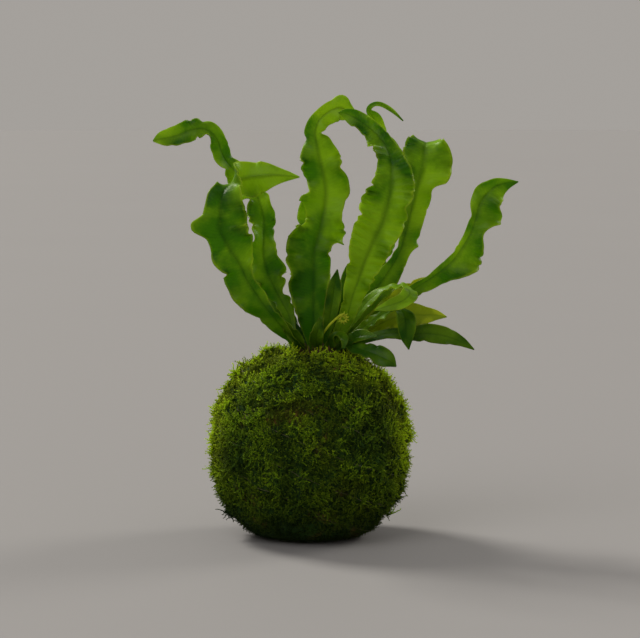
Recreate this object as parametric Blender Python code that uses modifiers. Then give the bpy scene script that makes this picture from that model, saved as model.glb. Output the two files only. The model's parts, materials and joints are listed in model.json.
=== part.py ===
# A kokedama: a wavy bird's-nest fern growing out of a moss-wrapped ball of soil.
#
# Frame: metres, +Z up, the origin at the centre of the flat spot that the ball rests on, and
# -Y the side seen from the front. The working values below are in millimetres and are
# turned into metres where a mesh is made.
#
# From the inside out: root_ball sits in the socket of soil_core, moss_cover wraps the soil,
# binding_thread holds the moss, and crown closes the opening at the top and carries the fronds.

import math

import bmesh
import bpy
import numpy as np
from mathutils import Matrix, Vector

MM = 0.001

# Ball
BALL_CENTRE = 50.5  # height of the ball's middle
BALL_SIDE = 55.0  # radius at the waist
BALL_RISE = 55.0  # half height, part of which the flat spot cuts off
BALL_SQUARENESS = 2.3  # 2 is an ellipsoid, more has fuller shoulders
LUMP = 1.0
MOSS_THICK = 7.0
GAP = 0.5  # clearance between pieces that meet
BALL_SEGMENTS = 26
BALL_RINGS = 20
LEAN_FROM = 0.82  # height of direction above which the top leans towards the opening
LEAN_FULL = 0.97
LEAN_SPREAD = 0.1  # share by which the leaning top is wider

# Opening in the moss and what stands in it
OPENING_X = 6.0  # the plant grows a little right of the ball's middle
OPENING_LONG = 22.5
OPENING_SHORT = 17.5
OPENING_HEIGHT = 0.96  # height of direction of the sheet's last ring below the rim
ROOT_TOP = 92.5
ROOT_DEEP = 50.0
ROOT_TOP_RADIUS = 21.0
ROOT_TAPER = 0.7
ROOT_SEGMENTS = 24
CROWN_LONG = 17.0
CROWN_SHORT = 14.0
CROWN_TOP = 102.0
CROWN_SCALES = 9
CROWN_RINGS = 8
CROWN_SCALE_DEPTH = 0.5

# Thread
THREAD_RADIUS = 0.35
THREAD_CLEAR = 1.6  # its centre line above the moss surface
THREAD_TURNS = 4
THREAD_STEPS = 18  # points in a turn
THREAD_TILT = math.radians(20)
THREAD_FROM = math.radians(52)
THREAD_TO = math.radians(124)

# Fronds
FROND_THICK = 0.9
LONG_STATIONS = 24
SHORT_STATIONS = 12
SPLINE_STEPS = 12
TIP_EASE = 0.15  # share of the length over which the ruffles fade in and out
BASE_EASE = 0.25
SIDE_SHIFT = 2.2  # the two margins ruffle out of step

# Fiddlehead
STALK_RADIUS = 0.4
COIL_RADIUS = 2.3
COIL_TURNS = 1.4
COIL_SHRINK = 0.68  # share of the coil's radius lost from its outside to its middle
COIL_STEPS = 14  # points in a turn
STALK_STATIONS = 10
STALK = (
    (6, -9.5, 103.5),
    (6.8, -13, 111),
    (9.5, -15, 116),
    (13, -16, 120),
    (17, -16.5, 123.5),
)

# Each frond: its ruffles (wave length in mm, swing and fold in degrees, start of the wave),
# then its midrib from base to tip. A row of the midrib is x, y, z, the width left and right
# of it, and the direction that the blade's upper face looks in.
FRONDS = {
    "left_front_frond": (
        (22, 16, 14, 0.4),
        (-4, -7, 103.5, 2, 2, -1, -2, 0),
        (-10.5, -14, 112, 4, 3.5, -2, -3, 0),
        (-18.5, -20, 122.5, 7.5, 4.5, -2, -3, 0),
        (-26.5, -25, 133.5, 11, 5, -1, -2.5, 0),
        (-32.5, -28, 143, 13, 4, -1, -3, 0),
        (-37, -30, 152, 11, 8.5, 0, -1, 0),
        (-41.5, -31, 159, 12, 14, 0, -1, 0),
        (-45, -32, 165, 9, 16.5, 0, -1, 0),
        (-47, -32, 169, 9.5, 16, 0, -1, 0),
        (-47.5, -32, 171.5, 17, 15.5, 0, -1, 0),
        (-47.5, -32, 175, 16, 15, 0, -1, 0),
        (-47.5, -32, 178, 10.5, 15, 0, -1, 0),
        (-47.5, -31.5, 182, 8.5, 14.5, 0, -1, 0),
        (-46.5, -30, 188, 8, 13.5, -0.1, -1, 0.1),
        (-44, -26, 192.5, 7, 11.5, -0.6, -0.7, 0.6),
        (-39, -21, 196.5, 9.5, 10, -0.8, 0.3, 0.5),
        (-32, -19, 198.5, 11.5, 9.5, -0.3, 1, -0.2),
        (-24, -20, 199.5, 9, 8, 0, 1, -0.4),
        (-15, -21, 199.5, 4.5, 4.5, 0, 1, -0.3),
        (-5, -21, 198.5, 0.3, 0.3, 0, 1, -0.2),
    ),
    "left_tall_frond": (
        (24, 22, 12, 2.0),
        (-8, -1, 103.5, 2, 2, -1, -1, 0),
        (-8, -1, 111, 3, 3, -1, -1, 0),
        (-11, 0, 122.5, 4, 5, -1, -1, 0),
        (-17, 2, 133.5, 6, 8, -0.6, -1, 0),
        (-22.5, 5, 144, 8.5, 11, -0.1, -1, 0),
        (-25, 8, 154.5, 8, 8, 0.2, -1, 0),
        (-25.5, 11, 164.5, 9, 7, 0.5, -1, 0),
        (-25.5, 14, 175.5, 9.5, 7, 0.6, -1, 0),
        (-29, 17, 186.5, 9, 6.5, 0.3, -1, 0),
        (-36, 19, 195.5, 8.5, 7.5, -0.3, -1, 0),
        (-43.5, 20, 203, 7, 5.5, 0.5, -1, 0.2),
        (-47.3, 19.5, 207.5, 6.5, 5.5, 0.6, -1, 0.2),
        (-49.5, 19, 213, 6, 5.5, 0.7, -1, 0.2),
        (-51, 18, 218, 5.5, 5, 0.6, -1, 0.3),
        (-54.5, 17, 222.3, 5.5, 5.5, 0.3, -1, 0.4),
        (-60, 15, 224.2, 6, 6, 0, -1, 0.4),
        (-66, 14, 223, 6.5, 6.5, -0.1, -1, 0.4),
        (-71.5, 13.5, 220.7, 6.5, 6, -0.2, -1, 0.4),
        (-77, 13, 219.2, 6, 5.5, -0.3, -1, 0.4),
        (-82, 12, 218.4, 4.5, 4, -0.4, -1, 0.4),
        (-86, 11, 217.5, 0.5, 0.5, -0.4, -1, 0.4),
    ),
    "centre_left_frond": (
        (22, 22, 12, 1.0),
        (2, -5, 103.5, 2, 2, 0, -1, 0),
        (2.5, -5.5, 114, 6.5, 3.8, 0, -1, 0),
        (2.5, -5, 123.5, 10.5, 5.5, 0, -1, 0),
        (2.5, -4, 135.5, 13.5, 9, 0, -1, 0),
        (2.5, -3, 146.5, 15.5, 9.5, 0, -1, 0),
        (3, -1.5, 157.5, 16, 9.5, 0, -1, 0),
        (4, -0.5, 161.5, 16.5, 10.5, 0, -1, 0),
        (4.5, 0, 164.5, 17, 15, 0, -1, 0),
        (5.5, 0.7, 167.5, 16, 15, 0, -1, 0),
        (6, 1, 170.5, 9.5, 14.5, 0, -1, 0),
        (7.5, 2.5, 177, 10, 12, 0, -1, 0),
        (8.8, 3.8, 182, 15.5, 11, 0, -1, 0),
        (9, 4.3, 185.5, 16, 11.5, 0, -1, 0),
        (9, 5, 190, 10, 14, 0, -1, 0),
        (8, 6, 198, 10, 13, 0, -1, 0),
        (6, 7, 207, 12, 12, 0, -1, 0),
        (4.5, 8, 215, 8.5, 9.5, -0.4, -1, 0),
        (3.5, 9, 222, 6.5, 7, -0.4, -1, 0),
        (5.5, 10, 228.5, 5.5, 6, -0.2, -1, 0),
        (10, 11.5, 233, 5, 7, 0.1, -1, 0.2),
        (14, 12, 235, 5.5, 8, 0.2, -1, 0.3),
        (17.5, 12, 235.5, 7.5, 8, 0.2, -1, 0.2),
        (21, 12, 234, 4.5, 6.5, 0.1, -1, 0.1),
        (28, 12, 230, 0.3, 0.3, 0, -1, 0),
    ),
    "centre_right_frond": (
        (22, 20, 12, 3.2),
        (10, -6, 103.5, 2, 2, 0, -1, 0),
        (16, -9, 113, 3.5, 3.5, 0, -1, 0),
        (21, -12, 124, 4.5, 5, 0, -1, 0),
        (24, -14.5, 134.5, 6, 6.5, 0, -1, 0),
        (27.5, -17, 144.5, 8, 8.5, 0, -1, 0),
        (31, -19, 154.5, 11, 10, 0, -1, 0),
        (35.5, -21, 164.5, 13.5, 11, 0, -1, 0),
        (39.5, -22, 173.5, 15, 12, 0, -1, 0),
        (42.5, -22.5, 183, 15.5, 12.5, 0, -1, 0),
        (44, -22, 192, 13, 13.5, 0, -1, 0),
        (44.5, -20, 200.5, 9, 12, 0, -1, 0),
        (44, -17, 207, 8, 8.5, 0.4, -1, -0.2),
        (42.5, -14.5, 212.5, 11, 7, 0.5, -1, -0.3),
        (40, -12, 217.5, 10.5, 5.5, 0.5, -1, -0.2),
        (35.5, -9, 222.5, 6.5, 5, 0.3, -1, 0.3),
        (30, -6.5, 227, 5.5, 5, 0, -1, 0.3),
        (24.5, -4.5, 230.5, 5, 4.5, 0, -1, 0.1),
        (20, -3.5, 232.5, 3, 3, 0, -1, 0),
        (16, -3, 233, 0.3, 0.3, 0, -1, 0),
    ),
    "right_tall_frond": (
        (22, 20, 12, 0.0),
        (15, 1, 103.5, 2, 2, 0, -1, 0),
        (22.5, 2, 116, 3.5, 3.5, 0, -1, 0),
        (31, 3.5, 128, 5.5, 5.5, 0, -1, 0),
        (39, 5, 139, 7, 8.5, 0, -1, 0),
        (46, 7, 149.5, 3.5, 7, 0.4, -1, 0),
        (50, 9, 157.5, 3.5, 6.5, 0.6, -1, 0),
        (51.5, 10, 162.5, 3.5, 10.5, 0.5, -1, 0),
        (53, 11, 167, 3.5, 8.5, 0.5, -1, 0),
        (55.5, 13, 176, 5, 8.5, 0.4, -1, 0),
        (58, 14, 184.5, 11, 9, 0, -1, 0),
        (60, 15, 192, 12, 10, 0, -1, 0),
        (61.5, 16, 198, 12, 16, 0, -1, 0),
        (63, 17, 207, 12, 17, 0, -1, 0),
        (64, 19, 213, 12, 14.5, 0, -1, 0.3),
        (65, 24, 216, 9.5, 8.5, 0, -0.5, 1),
        (66, 30, 215, 7.5, 6.5, 0, 0.5, 1),
        (67, 34, 210.5, 5, 5, 0, 1, 0.5),
        (67.5, 36, 204.5, 0.3, 0.3, 0, 1, 0),
    ),
    "far_right_frond": (
        (22, 24, 10, 1.5),
        (19, 4, 103.5, 2, 2, 0.3, -1, 0.3),
        (30, 7, 114, 3, 3, 0.3, -1, 0.3),
        (45, 8, 127, 3, 3.5, 0.3, -1, 0.2),
        (59, 7, 137, 2.5, 5, 0.2, -1, 0),
        (67.5, 6, 142.5, 2.5, 6.5, 0, -1, 0),
        (73.5, 5, 147, 3, 8, 0, -1, 0),
        (79, 5, 152, 3, 14, 0, -1, 0),
        (83, 5, 157.5, 3, 14.5, 0, -1, 0),
        (87, 5.5, 163.5, 3, 11, 0, -1, 0),
        (90, 6, 169.5, 3.5, 7.5, 0, -1, 0),
        (92, 7, 176.5, 3.5, 15.5, 0, -1, 0),
        (94, 8, 183, 5.5, 13.5, 0, -1, 0),
        (97.5, 9, 188, 7, 11, 0, -1, 0),
        (102.5, 10, 192.5, 5, 8.5, 0, -1, 0),
        (108.5, 11, 194.5, 2.5, 4.5, 0, -1, 0),
        (115.5, 12, 195, 0.3, 0.3, 0, -1, 0),
    ),
    "back_tall_frond": (
        (20, 28, 10, 2.0),
        (7, 5, 103.5, 2, 2, 0, -1, 0),
        (15, 11, 119.5, 4, 4, 0, -1, 0),
        (25, 17, 139.5, 8, 8, 0.2, -1, 0),
        (33, 21, 155, 8, 4.5, 0, -1, 0),
        (39, 24, 174, 7, 5.5, 0, -1, 0),
        (44, 25, 197, 5.5, 7, 0, -1, 0),
        (43.5, 24, 211, 5, 7.5, 0, -1, 0),
        (39.5, 21, 221, 4, 4.5, 0, -1, 0),
        (36, 19, 229, 2.5, 4.5, 0, -1, 0),
        (33, 17, 234.5, 1.5, 2, 0, -1, 0.2),
        (35.5, 16, 237.5, 1.3, 1.5, 0.2, -1, 0.4),
        (40, 16, 237.5, 1.3, 1.4, 0.2, -1, 0.4),
        (46, 16, 234, 1.2, 1.2, 0.3, -1, 0.4),
        (52, 16, 228.5, 0.3, 0.3, 0.3, -1, 0.4),
    ),
    "back_left_frond": (
        (22, 24, 12, 2.0),
        (0, 7, 103.5, 2, 2, 0, 1, 0),
        (-2, 15, 118, 4, 4, 0, 0.8, -0.5),
        (-2, 25, 137, 9, 9, 0, 0.8, -0.5),
        (1, 34, 157, 11, 11, 0, 0.8, -0.5),
        (4, 41, 176, 11, 11, 0, 0.8, -0.4),
        (6, 45, 190, 7, 7, 0, 0.9, -0.2),
        (7, 46, 200, 0.3, 0.3, 0, 1, 0),
    ),
    "back_right_frond": (
        (22, 24, 12, 0.6),
        (13, 9, 103.5, 2, 2, 0, 1, 0),
        (19, 17, 118, 4, 4, 0, 0.8, -0.5),
        (27, 27, 136, 9, 9, 0, 0.8, -0.5),
        (35, 36, 154, 11, 11, 0, 0.8, -0.5),
        (42, 42, 170, 9, 9, 0, 0.8, -0.4),
        (47, 45, 182, 0.3, 0.3, 0, 1, 0),
    ),
    "back_low_left_frond": (
        (22, 22, 12, 1.6),
        (-6, 5, 103.5, 2, 2, -0.3, 1, 0),
        (-13, 14, 116, 4, 4, -0.3, 0.8, -0.6),
        (-22, 24, 130, 8, 8, -0.3, 0.8, -0.7),
        (-32, 32, 142, 9, 9, -0.4, 0.8, -0.8),
        (-42, 38, 151, 7, 7, -0.4, 0.8, -0.8),
        (-50, 41, 157, 0.3, 0.3, -0.4, 0.8, -0.8),
    ),
    "back_low_right_frond": (
        (20, 16, 12, 1.6),
        (18, 9.5, 103.5, 1.5, 1.5, 0.3, 1, 0),
        (24, 18, 112, 3.5, 3.5, 0.3, 0.8, -0.6),
        (34, 30, 118, 6, 6, 0.3, 0.7, -0.8),
        (44, 38, 122, 5, 5, 0.3, 0.6, -1),
        (52, 43, 122, 0.3, 0.3, 0.3, 0.6, -1),
    ),
    "pale_young_frond": (
        (14, 26, 8, 1.0),
        (20, 7.5, 103.5, 1.5, 1.5, 0, -1, 0.2),
        (30, 13, 115, 3, 3, 0, -1, 0.2),
        (42, 17, 125, 4.5, 4.5, 0, -1, 0.2),
        (54, 18, 133.5, 4.5, 4.5, 0, -1, 0.1),
        (64, 17, 138.5, 3.5, 4, 0, -1, 0.1),
        (72, 16, 142, 0.3, 0.3, 0, -1, 0),
    ),
    "low_pale_frond": (
        (18, 14, 10, 0.5),
        (20.8, 0.5, 103.8, 1.5, 1.5, 0, -1, 0.3),
        (33, -1, 113, 3, 3, 0, -1, 0.3),
        (44, -4, 120, 6, 6, 0, -1, 0.2),
        (54, -4, 122.5, 7, 7, 0, -1, 0.2),
        (62, -4, 122.5, 5.5, 5.5, 0, -1, 0.1),
        (69.5, -4, 122.5, 3, 3, 0, -1, 0.1),
        (75.5, -4, 121.5, 0.3, 0.3, 0, -1, 0),
    ),
    "low_dark_frond": (
        (20, 10, 10, 2.5),
        (20.5, -6, 103.5, 1.5, 1.5, 0, -1, 0.5),
        (31, -11, 110, 2.5, 2.5, 0, -1, 0.5),
        (44, -13, 113, 3, 3, 0, -1, 0.4),
        (55, -14, 113, 4, 4, 0, -1, 0.3),
        (66, -14, 113, 6, 5, 0, -1, 0.3),
        (75, -14, 111.5, 5, 4.5, 0, -1, 0.3),
        (83, -14, 108.5, 3, 2.5, 0, -1, 0.3),
        (90, -14, 104.5, 0.3, 0.3, 0, -1, 0.2),
    ),
    "hanging_frond": (
        (18, 10, 8, 0.0),
        (17, -3, 103.5, 1.5, 1.5, -0.3, -1, 0.5),
        (29, -6, 115, 3, 3, -0.5, -1, 0.8),
        (41, -12, 123.5, 4.5, 4.5, -0.3, -0.8, 1),
        (49, -19, 126.5, 5, 5, 0.2, -0.3, 1),
        (52, -23, 121, 6, 5, 0.2, -1, 0.3),
        (52.5, -24, 113, 4.5, 3.5, 0, -1, 0),
        (54, -24, 105.5, 0.3, 0.3, 0, -1, 0),
    ),
    "hooked_frond": (
        (18, 8, 8, 0.0),
        (13.5, -3, 103.5, 1.5, 1.5, -0.3, -1, 0.5),
        (23, -3.5, 118, 2.5, 2.5, -0.5, -1, 0.6),
        (35, -5, 132, 4, 4, -0.3, -0.8, 1),
        (46, -10, 138, 4.5, 4.5, 0, -0.3, 1),
        (54, -19, 137, 5, 5, 0.6, -0.6, 0.8),
        (52, -28, 133, 5, 4.5, 0, -0.8, 0.6),
        (44, -31, 130, 3.5, 3.5, 0, -1, 0.5),
        (35, -31, 127.5, 0.3, 0.3, 0, -1, 0.4),
    ),
    "drooping_frond": (
        (18, 10, 8, 1.0),
        (14.5, -9, 103.5, 1.5, 1.5, 0, -1, 0.8),
        (20.5, -14, 107, 3, 3, 0, -0.8, 0.8),
        (26.5, -20.5, 105.5, 4.5, 4, 0.1, -1, 0.7),
        (33, -25.5, 104, 5.5, 4.5, 0.2, -1, 0.6),
        (38.5, -28, 102, 6, 5.5, 0.2, -1, 0.6),
        (43, -30, 100, 4.5, 4.5, 0.2, -1, 0.5),
        (47, -31, 97, 0.3, 0.3, 0.2, -1, 0.5),
    ),
    "new_frond": (
        (18, 6, 20, 1.0),
        (7.5, -1.5, 103.5, 1.5, 1.5, 0, -1, 0),
        (10, -6, 115, 3, 3, 0, -1, 0),
        (12.5, -8.5, 128, 4.5, 4.5, 0, -1, 0),
        (14, -9.5, 139, 4, 4, 0, -1, 0),
        (15.5, -10, 148, 0.3, 0.3, 0, -1, 0),
    ),
}
SHORT_FRONDS = (
    "pale_young_frond",
    "low_pale_frond",
    "low_dark_frond",
    "hanging_frond",
    "hooked_frond",
    "drooping_frond",
    "new_frond",
    "back_low_left_frond",
    "back_low_right_frond",
)

# Colour, roughness
MOSS = (0.045, 0.085, 0.012), 0.95
SOIL = (0.035, 0.022, 0.014), 1.0
ROOTS = (0.11, 0.07, 0.04), 0.95
CROWN = (0.05, 0.028, 0.015), 0.9
THREAD = (0.16, 0.15, 0.10), 0.6
LEAF = (0.09, 0.24, 0.02), 0.45
PALE_LEAF = (0.22, 0.34, 0.04), 0.5
DARK_LEAF = (0.03, 0.10, 0.012), 0.4
LEAF_OF = {
    "low_pale_frond": PALE_LEAF,
    "pale_young_frond": PALE_LEAF,
    "low_dark_frond": DARK_LEAF,
    "drooping_frond": DARK_LEAF,
    "new_frond": DARK_LEAF,
}


def clear_scene():
    for old in list(bpy.data.objects):
        bpy.data.objects.remove(old, do_unlink=True)


def new_collection(name):
    collection = bpy.data.collections.new(name)
    bpy.context.scene.collection.children.link(collection)
    return collection


def finish(name, data, collection, look):
    """An object of this data, with a material of its own."""
    colour, roughness = look
    made = bpy.data.materials.new(name)
    made.use_nodes = True
    shader = made.node_tree.nodes["Principled BSDF"]
    shader.inputs["Base Color"].default_value = (*colour, 1)
    shader.inputs["Roughness"].default_value = roughness
    shader.inputs["Metallic"].default_value = 0
    made.diffuse_color = (*colour, 1)
    data.materials.append(made)
    obj = bpy.data.objects.new(name, data)
    collection.objects.link(obj)
    if data.id_type == "MESH":
        data.shade_smooth()
    return obj


def mesh_from(bm, name):
    bmesh.ops.recalc_face_normals(bm, faces=bm.faces)
    mesh = bpy.data.meshes.new(name)
    bm.to_mesh(mesh)
    bm.free()
    return mesh


def eased(value, start, end):
    """0 before start, 1 after end, and a smooth step between."""
    share = min(max((value - start) / (end - start), 0), 1)
    return share * share * (3 - 2 * share)


# --- the ball


def ball_point(way, inset=0.0):
    """The point of the ball's surface in this direction from its middle, this far inside it."""
    way = way.normalized()
    flat = math.hypot(way.x, way.y)
    power = BALL_SQUARENESS
    side, rise = BALL_SIDE - inset, BALL_RISE - inset
    reach = ((flat / side) ** power + (abs(way.z) / rise) ** power) ** (-1 / power)
    turn = math.atan2(way.y, way.x)
    reach += LUMP * flat * (math.sin(3 * turn + 4 * way.z) + math.sin(5 * turn - 3 * way.z + 1))
    point = way * reach
    point.z += BALL_CENTRE
    lean = eased(way.z, LEAN_FROM, LEAN_FULL)
    point.x = point.x * (1 + LEAN_SPREAD * lean) + OPENING_X * lean
    point.z = max(point.z, inset)
    return point


def ball_cage(open_above, inset=0.0):
    """A sphere's mesh on the ball's surface, without its faces above this height of direction."""
    bm = bmesh.new()
    bmesh.ops.create_uvsphere(bm, u_segments=BALL_SEGMENTS, v_segments=BALL_RINGS, radius=1)
    above = [v for v in bm.verts if v.co.z > open_above]
    bmesh.ops.delete(bm, geom=above, context="VERTS")
    for vert in bm.verts:
        vert.co = ball_point(vert.co, inset) * MM
    return bm


def make_moss(collection):
    """The sheet of moss, open at the top, where the plant comes out."""
    bm = ball_cage(open_above=OPENING_HEIGHT)
    rim_height = max(v.co.z for v in bm.verts)
    rim = [v for v in bm.verts if v.is_boundary]
    for vert in rim:
        turn = math.atan2(vert.co.y, vert.co.x - OPENING_X * MM)
        vert.co.x = (OPENING_X + OPENING_LONG * math.cos(turn)) * MM
        vert.co.y = OPENING_SHORT * math.sin(turn) * MM
        vert.co.z = rim_height
    moss = finish("moss_cover", mesh_from(bm, "moss_cover"), collection, MOSS)
    wall = moss.modifiers.new("sheet", "SOLIDIFY")
    wall.thickness = MOSS_THICK * MM
    wall.offset = -1
    return moss


def plug(name, bottom, top, spread=0.0):
    """A tapered plug between these heights, the root ball's shape grown sideways by spread."""
    slope = (1 - ROOT_TAPER) * ROOT_TOP_RADIUS / ROOT_DEEP
    bm = bmesh.new()
    bmesh.ops.create_cone(
        bm,
        cap_ends=True,
        segments=ROOT_SEGMENTS,
        radius1=(ROOT_TOP_RADIUS + spread - slope * (ROOT_TOP - bottom)) * MM,
        radius2=(ROOT_TOP_RADIUS + spread - slope * (ROOT_TOP - top)) * MM,
        depth=(top - bottom) * MM,
    )
    middle = Vector((OPENING_X, 0, (top + bottom) / 2)) * MM
    bmesh.ops.translate(bm, verts=bm.verts, vec=middle)
    return mesh_from(bm, name)


def make_root_ball(collection):
    """The nursery plug of roots and old soil that the plant came with."""
    mesh = plug("root_ball", ROOT_TOP - ROOT_DEEP, ROOT_TOP)
    return finish("root_ball", mesh, collection, ROOTS)


def make_soil(collection, cutters):
    """The pressed soil inside the moss, with the root ball's socket in its top."""
    bm = ball_cage(open_above=2, inset=MOSS_THICK + 2 * GAP)
    soil = finish("soil_core", mesh_from(bm, "soil_core"), collection, SOIL)
    mesh = plug("root_socket", ROOT_TOP - ROOT_DEEP - GAP, ROOT_TOP + 2 * MOSS_THICK, spread=GAP)
    socket = bpy.data.objects.new("root_socket", mesh)
    cutters.objects.link(socket)
    socket.hide_render = True
    socket.display_type = "WIRE"
    cut = soil.modifiers.new("socket", "BOOLEAN")
    cut.operation = "DIFFERENCE"
    cut.solver = "EXACT"
    cut.object = socket
    return soil


def make_crown(collection):
    """The short scaly rootstock: a low cushion with a flat top, ridged where old stalks were."""
    bottom = ROOT_TOP + GAP
    bm = bmesh.new()
    bmesh.ops.create_uvsphere(bm, u_segments=2 * CROWN_SCALES, v_segments=CROWN_RINGS, radius=1)
    half = (CROWN_TOP - bottom) / 2
    for vert in bm.verts:
        turn = math.atan2(vert.co.y, vert.co.x)
        flat = math.hypot(vert.co.x, vert.co.y)
        full = (flat**4 + vert.co.z**4) ** -0.25  # a cushion's rounded box
        ridge = 1 - CROWN_SCALE_DEPTH / CROWN_LONG * (1 + math.cos(CROWN_SCALES * turn))
        vert.co.x = OPENING_X + vert.co.x * full * CROWN_LONG * ridge
        vert.co.y = vert.co.y * full * CROWN_SHORT * ridge
        vert.co.z = bottom + half + vert.co.z * full * half
        vert.co *= MM
    return finish("crown", mesh_from(bm, "crown"), collection, CROWN)


def tube(name, points, radius, collection, look):
    """A wire along these points in millimetres."""
    data = bpy.data.curves.new(name, "CURVE")
    data.dimensions = "3D"
    data.bevel_depth = radius * MM
    data.bevel_resolution = 2
    data.use_fill_caps = True
    spline = data.splines.new("POLY")
    spline.points.add(len(points) - 1)
    for knot, point in zip(spline.points, points):
        knot.co = (*(Vector(point) * MM), 1)
    return finish(name, data, collection, look)


def make_thread(collection):
    """The thread that holds the moss on, wound once down the ball about a tilted axis."""
    tilt = Matrix.Rotation(THREAD_TILT, 3, "Y")
    count = THREAD_TURNS * THREAD_STEPS
    points = []
    for step in range(count + 1):
        share = step / count
        down = THREAD_FROM + (THREAD_TO - THREAD_FROM) * share
        turn = 2 * math.pi * THREAD_TURNS * share
        flat = math.sin(down)
        way = tilt @ Vector((flat * math.cos(turn), flat * math.sin(turn), math.cos(down)))
        points.append(ball_point(way) + way * THREAD_CLEAR)
    return tube("binding_thread", points, THREAD_RADIUS, collection, THREAD)


# --- the plant


def smooth_path(rows, count):
    """A smooth curve through the rows, as this many evenly spaced ones, and their distances."""
    rows = np.array(rows, float)
    rows = np.vstack([2 * rows[0] - rows[1], rows, 2 * rows[-1] - rows[-2]])
    found = []
    for a, b, c, d in zip(rows, rows[1:], rows[2:], rows[3:]):
        for step in range(SPLINE_STEPS):
            t = step / SPLINE_STEPS
            bend = (2 * a - 5 * b + 4 * c - d) * t**2 + (3 * b - a - 3 * c + d) * t**3
            found.append(b + 0.5 * ((c - a) * t + bend))
    found = np.array(found + [rows[-2]])
    steps = np.linalg.norm(np.diff(found[:, :3], axis=0), axis=1)
    along = np.concatenate([[0], np.cumsum(steps)])
    wanted = np.linspace(0, along[-1], count)
    columns = [np.interp(wanted, along, column) for column in found.T]
    return np.column_stack(columns), wanted


def units(vectors):
    return vectors / np.linalg.norm(vectors, axis=1)[:, None]


def blade_points(ruffles, rows, stations, halves):
    """The frond's middle surface: an array of points, station by station, left margin to right."""
    wave, swing, fold, start = ruffles
    path, along = smooth_path(rows, stations + 1)
    middle = path[:, :3]
    ahead = units(np.gradient(middle, axis=0))
    face = path[:, 5:8]
    face = units(face - (face * ahead).sum(axis=1)[:, None] * ahead)
    right = np.cross(ahead, face)
    length = along[-1]
    fade_in = np.clip(along / (BASE_EASE * length), 0, 1)
    fade_out = np.clip((length - along) / (TIP_EASE * length), 0, 1)
    points = np.zeros((stations + 1, 2 * halves + 1, 3))
    points[:, halves] = middle
    for side, width, phase in ((-1, path[:, 3], start), (1, path[:, 4], start + SIDE_SHIFT)):
        ruffle = np.sin(2 * math.pi * along / wave + phase) * fade_in * fade_out
        edge = middle.copy()
        for strip in range(1, halves + 1):
            share = (strip - 0.5) / halves
            lift = np.radians(fold + swing * ruffle * share)
            outward = side * np.cos(lift)[:, None] * right + np.sin(lift)[:, None] * face
            edge = edge + outward * (width / halves)[:, None]
            points[:, halves + side * strip] = edge
    return points


def make_frond(name, ruffles, rows, collection):
    """A thin ruffled blade: a flat grid laid along the midrib, then given its thickness."""
    short = name in SHORT_FRONDS
    stations, halves = (SHORT_STATIONS, 1) if short else (LONG_STATIONS, 2)
    points = blade_points(ruffles, rows, stations, halves)
    bm = bmesh.new()
    bmesh.ops.create_grid(bm, x_segments=stations, y_segments=2 * halves, size=1)
    for vert in bm.verts:
        station = round((vert.co.x + 1) / 2 * stations)
        strip = round((vert.co.y + 1) * halves)
        vert.co = Vector(points[station, strip]) * MM
    look = LEAF_OF.get(name, LEAF)
    frond = finish(name, mesh_from(bm, name), collection, look)
    blade = frond.modifiers.new("thickness", "SOLIDIFY")
    blade.thickness = FROND_THICK * MM
    blade.offset = 0
    return frond


def make_fiddlehead(collection):
    """A new frond still rolled up: a thin stalk that ends in a flat coil."""
    path, _ = smooth_path(STALK, STALK_STATIONS)
    ahead = Vector(path[-1] - path[-2]).normalized()
    outward = Vector((ahead.z, 0, -ahead.x))  # the coil turns over to the right
    middle = Vector(path[-1]) + outward * COIL_RADIUS
    points = [Vector(point) for point in path]
    steps = round(COIL_TURNS * COIL_STEPS)
    for step in range(1, steps + 1):
        turn = 2 * math.pi * COIL_TURNS * step / steps
        shrink = COIL_RADIUS * (1 - COIL_SHRINK * step / steps)
        points.append(middle + shrink * (ahead * math.sin(turn) - outward * math.cos(turn)))
    return tube("fiddlehead", points, STALK_RADIUS, collection, PALE_LEAF)


def main():
    clear_scene()
    parts = new_collection("kokedama")
    cutters = new_collection("cutters")
    cutters.hide_render = True
    make_moss(parts)
    make_root_ball(parts)
    make_soil(parts, cutters)
    make_crown(parts)
    make_thread(parts)
    for name, (ruffles, *rows) in FRONDS.items():
        make_frond(name, ruffles, rows, parts)
    make_fiddlehead(parts)


main()
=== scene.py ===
# A kokedama: a wavy bird's-nest fern in a ball of living moss.
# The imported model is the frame. Everything here is in metres, apart from the
# frond table, whose rows are in millimetres.

import json
import math

import bmesh
import bpy
import numpy as np
from mathutils import Matrix, Vector

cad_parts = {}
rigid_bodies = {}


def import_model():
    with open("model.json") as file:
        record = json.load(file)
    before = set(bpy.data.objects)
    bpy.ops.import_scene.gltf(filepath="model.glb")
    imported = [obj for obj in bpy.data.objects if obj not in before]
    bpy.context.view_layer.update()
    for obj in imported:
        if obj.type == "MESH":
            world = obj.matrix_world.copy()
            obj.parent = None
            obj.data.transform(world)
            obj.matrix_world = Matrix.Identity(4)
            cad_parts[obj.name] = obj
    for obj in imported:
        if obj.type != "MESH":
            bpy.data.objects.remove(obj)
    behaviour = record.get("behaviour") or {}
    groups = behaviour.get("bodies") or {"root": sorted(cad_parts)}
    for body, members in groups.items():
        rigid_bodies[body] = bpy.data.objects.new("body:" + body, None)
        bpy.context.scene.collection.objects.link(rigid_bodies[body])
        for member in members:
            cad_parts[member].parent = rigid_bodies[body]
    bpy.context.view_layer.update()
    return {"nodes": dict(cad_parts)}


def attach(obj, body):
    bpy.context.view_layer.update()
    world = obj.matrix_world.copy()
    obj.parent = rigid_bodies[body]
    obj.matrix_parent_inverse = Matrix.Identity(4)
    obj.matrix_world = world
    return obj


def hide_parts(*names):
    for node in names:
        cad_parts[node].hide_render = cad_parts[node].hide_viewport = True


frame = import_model()
mm = 0.001
ballCentre = 50 * mm  # height of the ball's middle
print("frame loaded:", len(frame["nodes"]), "nodes")


# small helpers for node trees

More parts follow.
